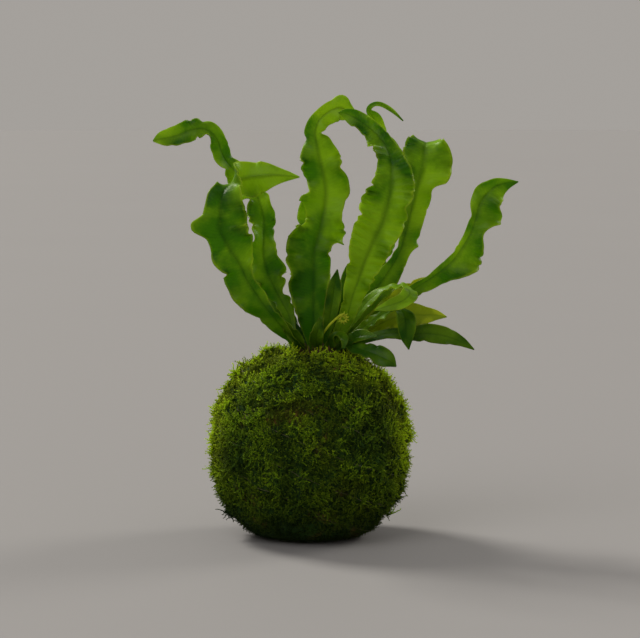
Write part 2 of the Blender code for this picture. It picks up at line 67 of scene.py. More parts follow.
def feed(tree, socket, value):
    # a link, or a plain value
    if isinstance(value, bpy.types.NodeSocket):
        tree.links.new(value, socket)
    elif isinstance(value, tuple) and len(value) == 3 and socket.type == "RGBA":
        socket.default_value = (*value, 1)
    else:
        socket.default_value = value


def put(tree, kind, values=None, **settings):
    node = tree.nodes.new(kind)
    for name, value in settings.items():
        setattr(node, name, value)
    for socket, value in (values or {}).items():
        feed(tree, node.inputs[socket], value)
    return node


def calc(tree, operation, first, second=0.0, third=0.0):
    node = put(tree, "ShaderNodeMath", {0: first, 1: second, 2: third}, operation=operation)
    return node.outputs[0]


def vectorCalc(tree, operation, first, second=(0, 0, 0)):
    values = {0: first, "Scale" if operation == "SCALE" else 1: second}
    node = put(tree, "ShaderNodeVectorMath", values, operation=operation)
    return node.outputs["Value" if operation in ("LENGTH", "DOT_PRODUCT", "DISTANCE") else "Vector"]


def mixColour(tree, share, low, high, blend="MIX"):
    node = tree.nodes.new("ShaderNodeMix")
    node.data_type = "RGBA"
    node.blend_type = blend
    for socket, value in ((0, share), (6, low), (7, high)):
        feed(tree, node.inputs[socket], value)
    return node.outputs[2]


def ramp(tree, value, low, high, start=0.0, end=1.0):
    # a soft step from start to end as value goes from low to high
    node = put(tree, "ShaderNodeMapRange", {0: value, 1: low, 2: high, 3: start, 4: end})
    node.interpolation_type = "SMOOTHSTEP"
    return node.outputs[0]


def noise(tree, place, scale, detail=2.0, rough=0.5, colour=False):
    values = {"Vector": place, "Scale": scale, "Detail": detail, "Roughness": rough}
    node = put(tree, "ShaderNodeTexNoise", values)
    return node.outputs["Color" if colour else "Fac"]


def attribute(tree, name):
    return put(tree, "ShaderNodeAttribute", attribute_name=name).outputs["Fac"]


def objectPlace(tree):
    return put(tree, "ShaderNodeTexCoord").outputs["Object"]


def newTree(name, kind, inputs, outputs):
    # an empty tree with these (name, socket type, default) inputs and outputs
    tree = bpy.data.node_groups.new(name, kind)
    for direction, sockets in (("INPUT", inputs), ("OUTPUT", outputs)):
        for label, socketKind, *default in sockets:
            socket = tree.interface.new_socket(
                name=label, in_out=direction, socket_type="NodeSocket" + socketKind)
            if default:
                value = default[0]
                socket.default_value = (*value, 1) if socketKind == "Color" else value
    given = tree.nodes.new("NodeGroupInput").outputs
    result = tree.nodes.new("NodeGroupOutput").inputs
    return tree, given, result


def useGroup(tree, group, values):
    node = tree.nodes.new("ShaderNodeGroup")
    node.node_tree = group
    for socket, value in values.items():
        feed(tree, node.inputs[socket], value)
    return node.outputs


# shader effects that several materials share

def makePatchGroup():
    # cloudy patches of two sizes, used by every living surface
    tree, given, result = newTree(
        "patches", "ShaderNodeTree",
        [("Scale", "Float", 60.0), ("Contrast", "Float", 2.0), ("Fine Share", "Float", 0.3)],
        [("Mask", "Float"), ("Grain", "Float")])
    place = objectPlace(tree)
    wide = noise(tree, place, given["Scale"], 2.0)
    fine = noise(tree, place, calc(tree, "MULTIPLY", given["Scale"], 7.0), 3.0, 0.6)
    both = put(tree, "ShaderNodeMix", {0: given["Fine Share"], 2: wide, 3: fine}).outputs[0]
    centred = calc(tree, "SUBTRACT", both, 0.5)
    strong = calc(tree, "MULTIPLY_ADD", centred, given["Contrast"], 0.5)
    strong.node.use_clamp = True
    tree.links.new(strong, result["Mask"])
    tree.links.new(fine, result["Grain"])
    return tree


leafLook = {  # scales are in waves per metre, shares say how strongly each mark shows
    "patchScale": 46.0, "patchContrast": 4.6, "patchFine": 0.25, "wobbleScale": 160.0, "wobble": 0.0016,
    "marginShare": 0.55, "midribShare": 0.28, "midribGlow": 0.36, "veinShare": 0.12, "veinGlow": 0.2,
    # where the painted shade near the crown starts and ends in height, in metres, and how dark it gets
    "crownShadeBelow": 0.100, "crownShadeEnd": 0.160, "crownShadeShare": 0.55,
}


def makeTissueGroup(patches):
    # leaf colour: patches, a dark midrib, pale margins and fine veins that run out and up
    tree, given, result = newTree(
        "leaf tissue", "ShaderNodeTree",
        [("Deep", "Color", (0.05, 0.15, 0.01)), ("Fresh", "Color", (0.2, 0.35, 0.02)),
         ("Edge", "Color", (0.4, 0.5, 0.06)), ("Vein Spacing", "Float", 0.0017),
         ("Vein Slant", "Float", 0.0035), ("Patch Share", "Float", 0.75)],
        [("Colour", "Color"), ("Backlit", "Color"), ("Relief", "Float"), ("Dry", "Float")])
    across = calc(tree, "ABSOLUTE", attribute(tree, "across"))
    along = attribute(tree, "along")
    tone = attribute(tree, "tone")
    look = leafLook
    spots = useGroup(tree, patches, {
        "Scale": look["patchScale"], "Contrast": look["patchContrast"], "Fine Share": look["patchFine"]})
    wobble = noise(tree, objectPlace(tree), look["wobbleScale"], 1.0)
    # veins leave the midrib at a slant and fork in step with a little wobble
    outwards = calc(tree, "MULTIPLY", across, given["Vein Slant"])
    shifted = calc(tree, "SUBTRACT", along, outwards)
    shifted = calc(tree, "MULTIPLY_ADD", wobble, look["wobble"], shifted)
    turns = calc(tree, "DIVIDE", shifted, given["Vein Spacing"])
    wave = calc(tree, "SINE", calc(tree, "MULTIPLY", turns, 2 * math.pi))
    broken = ramp(tree, spots["Grain"], 0.35, 0.65)
    vein = calc(tree, "MULTIPLY", ramp(tree, wave, -0.2, 1.0), broken)
    midrib = ramp(tree, across, 0.0, 0.22, 1.0, 0.0)
    margin = ramp(tree, across, 0.84, 1.0)
    patch = calc(tree, "SUBTRACT", spots["Mask"], 0.5)
    freshness = calc(tree, "MULTIPLY_ADD", patch, given["Patch Share"], tone)
    freshness.node.use_clamp = True
    colour = mixColour(tree, freshness, given["Deep"], given["Fresh"])
    colour = mixColour(tree, calc(tree, "MULTIPLY", margin, look["marginShare"]), colour, given["Edge"])
    colour = mixColour(tree, calc(tree, "MULTIPLY", midrib, look["midribShare"]), colour, given["Deep"])
    dark = mixColour(tree, 1.0, colour, (0.72, 0.8, 0.7), "MULTIPLY")
    shown = mixColour(tree, calc(tree, "MULTIPLY", vein, look["veinShare"]), colour, dark)
    # painted shade: darker towards the crown, where the tuft shades the leaves, apart from the palest new
    # leaves
    height = put(tree, "ShaderNodeSeparateXYZ", {0: objectPlace(tree)}).outputs["Z"]
    young = ramp(tree, tone, 1.3, 1.5)
    grown = calc(tree, "SUBTRACT", 1.0, young)
    ageAndShade = ramp(tree, height, look["crownShadeBelow"], look["crownShadeEnd"], look["crownShadeShare"], 0.0)
    ageAndShade = calc(tree, "MULTIPLY", ageAndShade, grown)
    shown = mixColour(tree, ageAndShade, shown, given["Deep"])
    tree.links.new(shown, result["Colour"])
    glow = mixColour(tree, freshness, given["Fresh"], given["Edge"])
    glow = mixColour(tree, calc(tree, "MULTIPLY", vein, look["veinGlow"]), glow, colour)
    glow = mixColour(tree, calc(tree, "MULTIPLY", midrib, look["midribGlow"]), glow, given["Deep"])
    glow = mixColour(tree, ageAndShade, glow, given["Deep"])
    tree.links.new(glow, result["Backlit"])
    relief = calc(tree, "MULTIPLY_ADD", spots["Grain"], 0.35, calc(tree, "MULTIPLY", vein, 0.3))
    tree.links.new(relief, result["Relief"])
    tree.links.new(ramp(tree, spots["Grain"], 0.35, 0.75, 0.30, 0.52), result["Dry"])
    return tree


# the materials

def newMaterial(name, roughness, specular=0.5):
    material = bpy.data.materials.new(name)
    material.use_nodes = True
    tree = material.node_tree
    shader = tree.nodes["Principled BSDF"]
    shader.inputs["Roughness"].default_value = roughness
    shader.inputs["Specular IOR Level"].default_value = specular
    return material, tree, shader


def bump(tree, shader, height, strength, distance):
    node = put(tree, "ShaderNodeBump", {"Height": height, "Strength": strength, "Distance": distance})
    tree.links.new(node.outputs[0], shader.inputs["Normal"])
    return node.outputs[0]


def letThrough(tree, shader, colour, share, normal=None):
    # thin tissue passes some of the light that falls on its far side
    through = put(tree, "ShaderNodeBsdfTranslucent", {"Color": colour})
    if normal is not None:
        tree.links.new(normal, through.inputs["Normal"])
    mix = put(tree, "ShaderNodeMixShader", {0: share, 1: shader.outputs[0], 2: through.outputs[0]})
    tree.links.new(mix.outputs[0], tree.nodes["Material Output"].inputs["Surface"])


leafFinishes = {  # deep, fresh, edge and how much shines through
    "leaf": {"deep": (0.020, 0.095, 0.002), "fresh": (0.31, 0.58, 0.012),
             "edge": (0.56, 0.72, 0.03), "through": 0.5},
    "pale_leaf": {"deep": (0.14, 0.27, 0.010), "fresh": (0.50, 0.63, 0.03),
                  "edge": (0.72, 0.76, 0.06), "through": 0.45},
    # a darker copy of the leaf: painted shade for the low leaves that the tuft shades
    "dark_leaf": {"deep": (0.026, 0.100, 0.002), "fresh": (0.24, 0.46, 0.008),
                  "edge": (0.42, 0.50, 0.03), "through": 0.4},
}


def makeLeafMaterial(name, finish, tissue):
    material, tree, shader = newMaterial(name, 0.4, 0.16)
    made = useGroup(tree, tissue, {
        "Deep": finish["deep"], "Fresh": finish["fresh"], "Edge": finish["edge"]})
    tree.links.new(made["Colour"], shader.inputs["Base Color"])
    tree.links.new(made["Dry"], shader.inputs["Roughness"])
    normal = bump(tree, shader, made["Relief"], 0.35, 0.0004)
    letThrough(tree, shader, made["Backlit"], finish["through"], normal)
    return material


mossFinish = {  # "paintedRimBand" says how squarely the moss at the sides and the top faces the front
    # the band sets where the painted rim light at the sides and the top fades out towards the front
    "shade": (0.007, 0.021, 0.005), "olive": (0.040, 0.105, 0.009), "fresh": (0.32, 0.56, 0.012),
    "tip": (0.74, 0.90, 0.025), "brown": (0.13, 0.085, 0.015), "through": 0.38,
    "patchScale": 27.0, "patchContrast": 3.4, "patchFine": 0.25, "paintedRimBand": (0.15, 0.72),
    # the painted shade low on the ball and in the creases between cushions
    "paintedShadeBelow": 0.046, "paintedShadeShare": 0.85, "creaseShadeShare": 0.6,
}


def makeShootMaterial(patches):
    # one moss shoot: dark at its foot, fresh along the stem, pale at the tip
    finish = mossFinish
    material, tree, shader = newMaterial("moss shoots", 0.7, 0.12)
    reach = attribute(tree, "reach")
    tint = attribute(tree, "tint")
    wide = useGroup(tree, patches, {
        "Scale": finish["patchScale"], "Contrast": finish["patchContrast"],
        "Fine Share": finish["patchFine"]})["Mask"]
    ageAndShade = noise(tree, objectPlace(tree), finish["patchScale"], 3.0)
    height = put(tree, "ShaderNodeSeparateXYZ", {0: objectPlace(tree)}).outputs["Z"]
    # painted light: the sides and the top are painted paler than the duller front, as a backlit rim and
    # light from above, and the back is between them
    fromCentre = vectorCalc(tree, "SUBTRACT", objectPlace(tree), (0.0, 0.0, ballCentre))
    outward = vectorCalc(tree, "NORMALIZE", fromCentre)
    front = vectorCalc(tree, "DOT_PRODUCT", outward, (0.0, -1.0, 0.0))
    behind = ramp(tree, front, -0.8, -0.1, 0.4, 1.0)
    paintedRim = calc(tree, "MULTIPLY", ramp(tree, front, *finish["paintedRimBand"], 1.0, 0.0), behind)
    paintedRim = calc(tree, "MULTIPLY", paintedRim, ramp(tree, height, 0.014, 0.055))
    top = ramp(tree, height, 0.060, 0.100, 0.0, 0.4)
    paintedLight = calc(tree, "MAXIMUM", calc(tree, "MULTIPLY", paintedRim, 0.8), top)
    loose = ramp(tree, attribute(tree, "depth"), 1.2, 1.8)  # sprigs that hang free are painted as fresh as the lit rim and kept out of the painted shade
    # from here the patches also carry the painted rim and top light
    wide = calc(tree, "ADD", wide, calc(tree, "MAXIMUM", paintedLight, loose))
    wide.node.use_clamp = True
    green = mixColour(tree, wide, finish["olive"], finish["fresh"])
    green = mixColour(tree, calc(tree, "MULTIPLY", tint, 0.7), green, finish["olive"])
    green = mixColour(tree, ramp(tree, reach, 0.0, 0.55), finish["shade"], green)
    tips = calc(tree, "MULTIPLY", ramp(tree, reach, 0.55, 1.0), calc(tree, "MULTIPLY", wide, 0.7))
    green = mixColour(tree, tips, green, finish["tip"])
    # painted highlight: pale shoot tips along the painted rim
    paintedRimTips = calc(tree, "MULTIPLY", paintedRim, ramp(tree, reach, 0.2, 0.8, 0.10, 0.75))
    green = mixColour(tree, paintedRimTips, green, finish["tip"])
    colour = mixColour(tree, ramp(tree, ageAndShade, 0.58, 0.74, 0.0, 0.5), green, finish["brown"])
    # painted shade: darker in the creases between cushions and low on the ball, where shade falls under it
    creaseShade = ramp(tree, attribute(tree, "depth"), 0.0, 0.6, finish["creaseShadeShare"], 0.0)
    low = ramp(tree, height, 0.0, finish["paintedShadeBelow"], finish["paintedShadeShare"], 0.0)
    paintedShade = calc(tree, "MAXIMUM", creaseShade, low)
    paintedShade = calc(tree, "MULTIPLY", paintedShade, calc(tree, "SUBTRACT", 1.0, loose))
    colour = mixColour(tree, paintedShade, colour, finish["shade"])
    tree.links.new(colour, shader.inputs["Base Color"])
    glow = mixColour(tree, 1.0, colour, (1.5, 1.35, 0.8), "MULTIPLY")
    letThrough(tree, shader, glow, finish["through"])
    return material


def makeMatMaterial(patches):
    # the dense felt under the shoots
    finish = mossFinish
    material, tree, shader = newMaterial("moss felt", 0.9, 0.2)
    spots = useGroup(tree, patches, {"Scale": 90.0, "Contrast": 2.5, "Fine Share": 0.5})
    colour = mixColour(tree, spots["Mask"], finish["shade"], finish["olive"])
    brown = noise(tree, objectPlace(tree), 55.0, 3.0)
    colour = mixColour(tree, ramp(tree, brown, 0.55, 0.7), colour, finish["brown"])
    tree.links.new(colour, shader.inputs["Base Color"])
    fibres = noise(tree, objectPlace(tree), 1600.0, 4.0, 0.7)
    bump(tree, shader, fibres, 0.9, 0.0009)
    return material


def makeEarthMaterial(name, dark, light, scale, depth):
    # soil, and the matted root plug
    material, tree, shader = newMaterial(name, 0.95, 0.15)
    place = objectPlace(tree)
    crumbs = put(tree, "ShaderNodeTexVoronoi", {"Vector": place, "Scale": scale}).outputs["Distance"]
    cloud = noise(tree, place, scale * 0.4, 5.0, 0.65)
    both = calc(tree, "MULTIPLY", crumbs, cloud)
    colour = mixColour(tree, ramp(tree, both, 0.05, 0.45), dark, light)
    tree.links.new(colour, shader.inputs["Base Color"])
    bump(tree, shader, both, 0.8, depth)
    return material


def makeScaleMaterial(patches):
    # papery brown scales at the foot of the stalks
    material, tree, shader = newMaterial("crown scales", 0.8, 0.3)
    spots = useGroup(tree, patches, {"Scale": 220.0, "Contrast": 2.0, "Fine Share": 0.4})
    reach = attribute(tree, "reach")
    colour = mixColour(tree, spots["Mask"], (0.035, 0.020, 0.010), (0.11, 0.065, 0.028))
    colour = mixColour(tree, ramp(tree, reach, 0.5, 1.0, 0.0, 0.6), colour, (0.20, 0.13, 0.06))
    tree.links.new(colour, shader.inputs["Base Color"])
    streaks = put(tree, "ShaderNodeTexWave", {
        "Vector": objectPlace(tree), "Scale": 300.0, "Distortion": 6.0}).outputs["Fac"]
    bump(tree, shader, streaks, 0.5, 0.0003)
    return material


def makeThreadMaterial(patches):
    material, tree, shader = newMaterial("binding thread", 0.6, 0.4)
    spots = useGroup(tree, patches, {"Scale": 300.0, "Contrast": 2.0, "Fine Share": 0.5})
    colour = mixColour(tree, spots["Mask"], (0.04, 0.05, 0.015), (0.16, 0.15, 0.06))
    tree.links.new(colour, shader.inputs["Base Color"])
    fibres = noise(tree, objectPlace(tree), 5200.0, 2.0, 0.6)
    bump(tree, shader, fibres, 0.5, 0.0001)
    return material


patches = makePatchGroup()
tissue = makeTissueGroup(patches)
leafMaterials = {name: makeLeafMaterial(name, finish, tissue) for name, finish in leafFinishes.items()}
shootMaterial = makeShootMaterial(patches)
matMaterial = makeMatMaterial(patches)
scaleMaterial = makeScaleMaterial(patches)
threadMaterial = makeThreadMaterial(patches)
soilMaterial = makeEarthMaterial("pressed soil", (0.012, 0.008, 0.005), (0.09, 0.06, 0.035), 420.0, 0.0012)
rootMaterial = makeEarthMaterial("root plug", (0.03, 0.02, 0.012), (0.24, 0.17, 0.10), 700.0, 0.0008)
for node, material in (("soil_core", soilMaterial), ("root_ball", rootMaterial)):
    frame["nodes"][node].data.materials.clear()
    frame["nodes"][node].data.materials.append(material)
print("materials made:", len(bpy.data.materials))


# making objects and handing them over

def newObject(name, mesh, material=None):
    made = bpy.data.objects.new(name, mesh)
    bpy.context.scene.collection.objects.link(made)
    if material is not None:
        mesh.materials.clear()
        mesh.materials.append(material)
    return made


def settle(made):
    # the modifiers' result becomes the object's own mesh
    graph = bpy.context.evaluated_depsgraph_get()
    mesh = bpy.data.meshes.new_from_object(made.evaluated_get(graph), depsgraph=graph)
    made.modifiers.clear()
    made.data = mesh
    mesh.name = made.name
    return made


def growOn(name, mesh, tree, values):
    # a Geometry Nodes tree run on a mesh, with its inputs set by name
    made = bpy.data.objects.new(name, mesh)
    modifier = made.modifiers.new("grow", "NODES")
    modifier.node_group = tree
    for item in tree.interface.items_tree:
        if item.in_out == "INPUT" and item.name in values:
            modifier[item.identifier] = values[item.name]
    bpy.context.scene.collection.objects.link(made)
    return settle(made)


def hand(piece, slot, *nodes):
    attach(piece, "root")
    if nodes:
        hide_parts(*nodes)
    print("  ", piece.name, len(piece.data.polygons), "faces")


# Each frond has its ruffles (wave length in mm, swing and fold in degrees, start of the
# wave), its tone from foot to tip (0 deep green, 1 yellow-green), which is partly the frond's
# own colour and partly painted light and shade, paler where light comes through the blade and
# darker where the tuft shades it, and its midrib from foot to tip. A row of the midrib is x, y,
# z, the width left and right of it, and the direction that the blade's upper face looks in.

fronds = {
    "left_front_frond": {
        "ruffle": (22, 16, 14, 0.4),
        "tone": (0.1, 0.1, 0.15, 0.3, 0.35, 0.15, 0.1, 0.15, 0.95, 1.0, 1.0),
        "rows": (
            (-4, -7, 103.5, 2, 2, -1, -2, 0), (-10.5, -14, 112, 4, 3.5, -2, -3, 0),
            (-18.5, -20, 122.5, 7.5, 4.5, -2, -3, 0), (-26.5, -25, 133.5, 11, 5, -1, -2.5, 0),
            (-32.5, -28, 143, 13, 4, -1, -3, 0), (-37, -30, 152, 11, 8.5, 0, -1, 0),
            (-41.5, -31, 159, 12, 14, 0, -1, 0), (-45, -32, 165, 9, 16.5, 0, -1, 0),
            (-47, -32, 169, 9.5, 16, 0, -1, 0), (-47.5, -32, 171.5, 17, 15.5, 0, -1, 0),
            (-47.5, -32, 175, 16, 15, 0, -1, 0), (-47.5, -32, 178, 10.5, 15, 0, -1, 0),
            (-47.5, -31.5, 182, 8.5, 14.5, 0, -1, 0), (-46.5, -30, 188, 8, 13.5, -0.1, -1, 0.1),
            (-44, -26, 192.5, 7, 11.5, -0.6, -0.7, 0.6), (-39, -21, 196.5, 9.5, 10, -0.8, 0.3, 0.5),
            (-32, -19, 198.5, 11.5, 9.5, -0.3, 1, -0.2), (-24, -20, 199.5, 9, 8, 0, 1, -0.4),
            (-15, -21, 199.5, 4.5, 4.5, 0, 1, -0.3), (-5, -21, 198.5, 0.3, 0.3, 0, 1, -0.2),
        ),
    },
    "left_tall_frond": {
        "crimp": 55.0,
        "ruffle": (24, 22, 12, 2.0),
        "tone": (0.35, 0.4, 0.3, 0.4, 0.85, 0.2, 0.3, 0.7),
        "rows": (
            (-8, -1, 103.5, 2, 2, -1, -1, 0), (-8, -1, 111, 3, 3, -1, -1, 0),
            (-11, 0, 122.5, 4, 5, -1, -1, 0), (-17, 2, 133.5, 6, 8, -0.6, -1, 0),
            (-22.5, 5, 144, 8.5, 11, -0.1, -1, 0), (-25, 8, 154.5, 8, 8, 0.2, -1, 0),
            (-25.5, 11, 164.5, 9, 7, 0.5, -1, 0), (-25.5, 14, 175.5, 9.5, 7, 0.6, -1, 0),
            (-29, 17, 186.5, 9, 6.5, 0.3, -1, 0), (-36, 19, 195.5, 8.5, 7.5, -0.3, -1, 0),
            (-43.5, 20, 203, 7, 5.5, 0.5, -1, 0.2), (-47.3, 19.5, 207.5, 6.5, 5.5, 0.6, -1, 0.2),
            (-49.5, 19, 213, 6, 5.5, 0.7, -1, 0.2), (-51, 18, 218, 5.5, 5, 0.6, -1, 0.3),
            (-54.5, 17, 222.3, 5.5, 5.5, 0.3, -1, 0.4), (-60, 15, 224.2, 6, 6, 0, -1, 0.4),
            (-66, 14, 223, 6.5, 6.5, -0.1, -1, 0.4), (-71.5, 13.5, 220.7, 6.5, 6, -0.2, -1, 0.4),
            (-77, 13, 219.2, 6, 5.5, -0.3, -1, 0.4), (-82, 12, 218.4, 4.5, 4, -0.4, -1, 0.4),
            (-86, 11, 217.5, 0.5, 0.5, -0.4, -1, 0.4),
        ),
    },
    "centre_left_frond": {
        "halfShade": (-0.25, 0.1),
        "ruffle": (22, 22, 12, 1.0),
        "tone": (0.0, 0.05, 0.45, 0.7, 0.35, 0.8, 1.1),
        "rows": (
            (2, -5, 103.5, 2, 2, 0, -1, 0), (2.5, -5.5, 114, 6.5, 3.8, 0, -1, 0),
            (2.5, -5, 123.5, 10.5, 5.5, 0, -1, 0), (2.5, -4, 135.5, 13.5, 9, 0, -1, 0),
            (2.5, -3, 146.5, 15.5, 9.5, 0, -1, 0), (3, -1.5, 157.5, 16, 9.5, 0, -1, 0),
            (4, -0.5, 161.5, 16.5, 10.5, 0, -1, 0), (4.5, 0, 164.5, 17, 15, 0, -1, 0),
            (5.5, 0.7, 167.5, 16, 15, 0, -1, 0), (6, 1, 170.5, 9.5, 14.5, 0, -1, 0),
            (7.5, 2.5, 177, 10, 12, 0, -1, 0), (8.8, 3.8, 182, 15.5, 11, 0, -1, 0),
            (9, 4.3, 185.5, 16, 11.5, 0, -1, 0), (9, 5, 190, 10, 14, 0, -1, 0),
            (8, 6, 198, 10, 13, 0, -1, 0), (6, 7, 207, 12, 12, 0, -1, 0),
            (4.5, 8, 215, 8.5, 9.5, -0.4, -1, 0), (3.5, 9, 222, 6.5, 7, -0.4, -1, 0),
            (5.5, 10, 228.5, 5.5, 6, -0.2, -1, 0), (10, 11.5, 233, 5, 7, 0.1, -1, 0.2),
            (14, 12, 235, 5.5, 8, 0.2, -1, 0.3), (17.5, 12, 235.5, 7.5, 8, 0.2, -1, 0.2),
            (21, 12, 234, 4.5, 6.5, 0.1, -1, 0.1), (28, 12, 230, 0.3, 0.3, 0, -1, 0),
        ),
    },
    "centre_right_frond": {
        "halfShade": (0.1, -0.1),
        "crease": 9.0,
        "ruffle": (22, 20, 12, 3.2),
        "tone": (0.2, 0.8, 1.1, 1.0, 0.3, 0.05, 0.45),
        "rows": (
            (10, -6, 103.5, 2, 2, 0, -1, 0), (16, -9, 113, 3.5, 3.5, 0, -1, 0),
            (21, -12, 124, 4.5, 5, 0, -1, 0), (24, -14.5, 134.5, 6, 6.5, 0, -1, 0),
            (27.5, -17, 144.5, 8, 8.5, 0, -1, 0), (31, -19, 154.5, 11, 10, 0, -1, 0),
            (35.5, -21, 164.5, 13.5, 11, 0, -1, 0), (39.5, -22, 173.5, 15, 12, 0, -1, 0),
            (42.5, -22.5, 183, 15.5, 12.5, 0, -1, 0), (44, -22, 192, 13, 13.5, 0, -1, 0),
            (44.5, -20, 200.5, 9, 12, 0, -1, 0), (44, -17, 207, 8, 8.5, 0.4, -1, -0.2),
            (42.5, -14.5, 212.5, 11, 7, 0.5, -1, -0.3), (40, -12, 217.5, 10.5, 5.5, 0.5, -1, -0.2),
            (35.5, -9, 222.5, 6.5, 5, 0.3, -1, 0.3), (30, -6.5, 227, 5.5, 5, 0, -1, 0.3),
            (24.5, -4.5, 230.5, 5, 4.5, 0, -1, 0.1), (20, -3.5, 232.5, 3, 3, 0, -1, 0),
            (16, -3, 233, 0.3, 0.3, 0, -1, 0),
        ),
    },
    "right_tall_frond": {
        "halfShade": (-0.15, 0.2),
        "ruffle": (22, 20, 12, 0.0),
        "tone": (0.2, 0.4, 0.35, 0.5, 0.35, 0.45, 0.6),
        "rows": (
            (15, 1, 103.5, 2, 2, 0, -1, 0), (22.5, 2, 116, 3.5, 3.5, 0, -1, 0),
            (31, 3.5, 128, 5.5, 5.5, 0, -1, 0), (39, 5, 139, 7, 8.5, 0, -1, 0),
            (46, 7, 149.5, 3.5, 7, 0.4, -1, 0), (50, 9, 157.5, 3.5, 6.5, 0.6, -1, 0),
            (51.5, 10, 162.5, 3.5, 10.5, 0.5, -1, 0), (53, 11, 167, 3.5, 8.5, 0.5, -1, 0),
            (55.5, 13, 176, 5, 8.5, 0.4, -1, 0), (58, 14, 184.5, 11, 9, 0, -1, 0),
            (60, 15, 192, 12, 10, 0, -1, 0), (61.5, 16, 198, 12, 16, 0, -1, 0),
            (63, 17, 207, 12, 17, 0, -1, 0), (64, 19, 213, 12, 14.5, 0, -1, 0.3),
            (65, 24, 216, 9.5, 8.5, 0, -0.5, 1), (66, 30, 215, 7.5, 6.5, 0, 0.5, 1),
            (67, 34, 210.5, 5, 5, 0, 1, 0.5), (67.5, 36, 204.5, 0.3, 0.3, 0, 1, 0),
        ),
    },
    "far_right_frond": {
        "ruffle": (22, 24, 10, 1.5),
        "tone": (0.35, 0.45, 0.3, 0.6, 0.45),
        "rows": (
            (19, 4, 103.5, 2, 2, 0.3, -1, 0.3), (30, 7, 114, 3, 3, 0.3, -1, 0.3),
            (45, 8, 127, 3, 3.5, 0.3, -1, 0.2), (59, 7, 137, 2.5, 5, 0.2, -1, 0),
            (67.5, 6, 142.5, 2.5, 6.5, 0, -1, 0), (73.5, 5, 147, 3, 8, 0, -1, 0),
            (79, 5, 152, 3, 14, 0, -1, 0), (83, 5, 157.5, 3, 14.5, 0, -1, 0),
            (87, 5.5, 163.5, 3, 11, 0, -1, 0), (90, 6, 169.5, 3.5, 7.5, 0, -1, 0),
            (92, 7, 176.5, 3.5, 15.5, 0, -1, 0), (94, 8, 183, 5.5, 13.5, 0, -1, 0),
            (97.5, 9, 188, 7, 11, 0, -1, 0), (102.5, 10, 192.5, 5, 8.5, 0, -1, 0),
            (108.5, 11, 194.5, 2.5, 4.5, 0, -1, 0), (115.5, 12, 195, 0.3, 0.3, 0, -1, 0),
        ),
    },
    "back_tall_frond": {
        "ruffle": (20, 28, 10, 2.0),
        "tone": (0.15, 0.2, 0.3, 0.5, 0.85, 0.6, 0.2),
        "rows": (
            (7, 5, 103.5, 2, 2, 0, -1, 0), (15, 11, 119.5, 4, 4, 0, -1, 0),
            (25, 17, 139.5, 8, 8, 0.2, -1, 0), (33, 21, 155, 8, 4.5, 0, -1, 0),
            (39, 24, 174, 7, 5.5, 0, -1, 0), (44, 25, 197, 5.5, 7, 0, -1, 0),
            (43.5, 24, 211, 5, 7.5, 0, -1, 0), (39.5, 21, 221, 4, 4.5, 0, -1, 0),
            (36, 19, 229, 2.5, 4.5, 0, -1, 0), (33, 17, 234.5, 1.5, 2, 0, -1, 0.2),
            (35.5, 16, 237.5, 1.3, 1.5, 0.2, -1, 0.4), (40, 16, 237.5, 1.3, 1.4, 0.2, -1, 0.4),
            (46, 16, 234, 1.2, 1.2, 0.3, -1, 0.4), (52, 16, 228.5, 0.3, 0.3, 0.3, -1, 0.4),
        ),
    },
    "back_left_frond": {
        "ruffle": (22, 24, 12, 2.0),
        "tone": (0.3, 0.4, 0.5),
        "rows": (
            (0, 7, 103.5, 2, 2, 0, 1, 0), (-2, 15, 118, 4, 4, 0, 0.8, -0.5),
            (-2, 25, 137, 9, 9, 0, 0.8, -0.5), (1, 34, 157, 11, 11, 0, 0.8, -0.5),
            (4, 41, 176, 11, 11, 0, 0.8, -0.4), (6, 45, 190, 7, 7, 0, 0.9, -0.2),
            (7, 46, 200, 0.3, 0.3, 0, 1, 0),
        ),
    },
    "back_right_frond": {
        "ruffle": (22, 24, 12, 0.6),
        "tone": (0.3, 0.4, 0.5),
        "rows": (
            (13, 9, 103.5, 2, 2, 0, 1, 0), (19, 17, 118, 4, 4, 0, 0.8, -0.5),
            (27, 27, 136, 9, 9, 0, 0.8, -0.5), (35, 36, 154, 11, 11, 0, 0.8, -0.5),
            (42, 42, 170, 9, 9, 0, 0.8, -0.4), (47, 45, 182, 0.3, 0.3, 0, 1, 0),
        ),
    },
    "back_low_left_frond": {
        "ruffle": (22, 22, 12, 1.6),
        "tone": (0.3, 0.4, 0.5),
        "rows": (
            (-6, 5, 103.5, 2, 2, -0.3, 1, 0), (-13, 14, 116, 4, 4, -0.3, 0.8, -0.6),
            (-22, 24, 130, 8, 8, -0.3, 0.8, -0.7), (-32, 32, 142, 9, 9, -0.4, 0.8, -0.8),
            (-42, 38, 151, 7, 7, -0.4, 0.8, -0.8), (-50, 41, 157, 0.3, 0.3, -0.4, 0.8, -0.8),
        ),
    },
    "back_low_right_frond": {
        "ruffle": (20, 16, 12, 1.6),
        "tone": (0.3, 0.4, 0.5),
        "rows": (
            (18, 9.5, 103.5, 1.5, 1.5, 0.3, 1, 0), (24, 18, 112, 3.5, 3.5, 0.3, 0.8, -0.6),
            (34, 30, 118, 6, 6, 0.3, 0.7, -0.8), (44, 38, 122, 5, 5, 0.3, 0.6, -1),
            (52, 43, 122, 0.3, 0.3, 0.3, 0.6, -1),
        ),
    },
    "pale_young_frond": {
        "ruffle": (14, 26, 8, 1.0),
        "tone": (0.7, 1.1, 1.4),
        "rows": (
            (20, 7.5, 103.5, 1.5, 1.5, 0, -1, 0.2), (30, 13, 115, 3, 3, 0, -1, 0.2),
            (42, 17, 125, 4.5, 4.5, 0, -1, 0.2), (54, 18, 133.5, 4.5, 4.5, 0, -1, 0.1),
            (64, 17, 138.5, 3.5, 4, 0, -1, 0.1), (72, 16, 142, 0.3, 0.3, 0, -1, 0),
        ),
    },
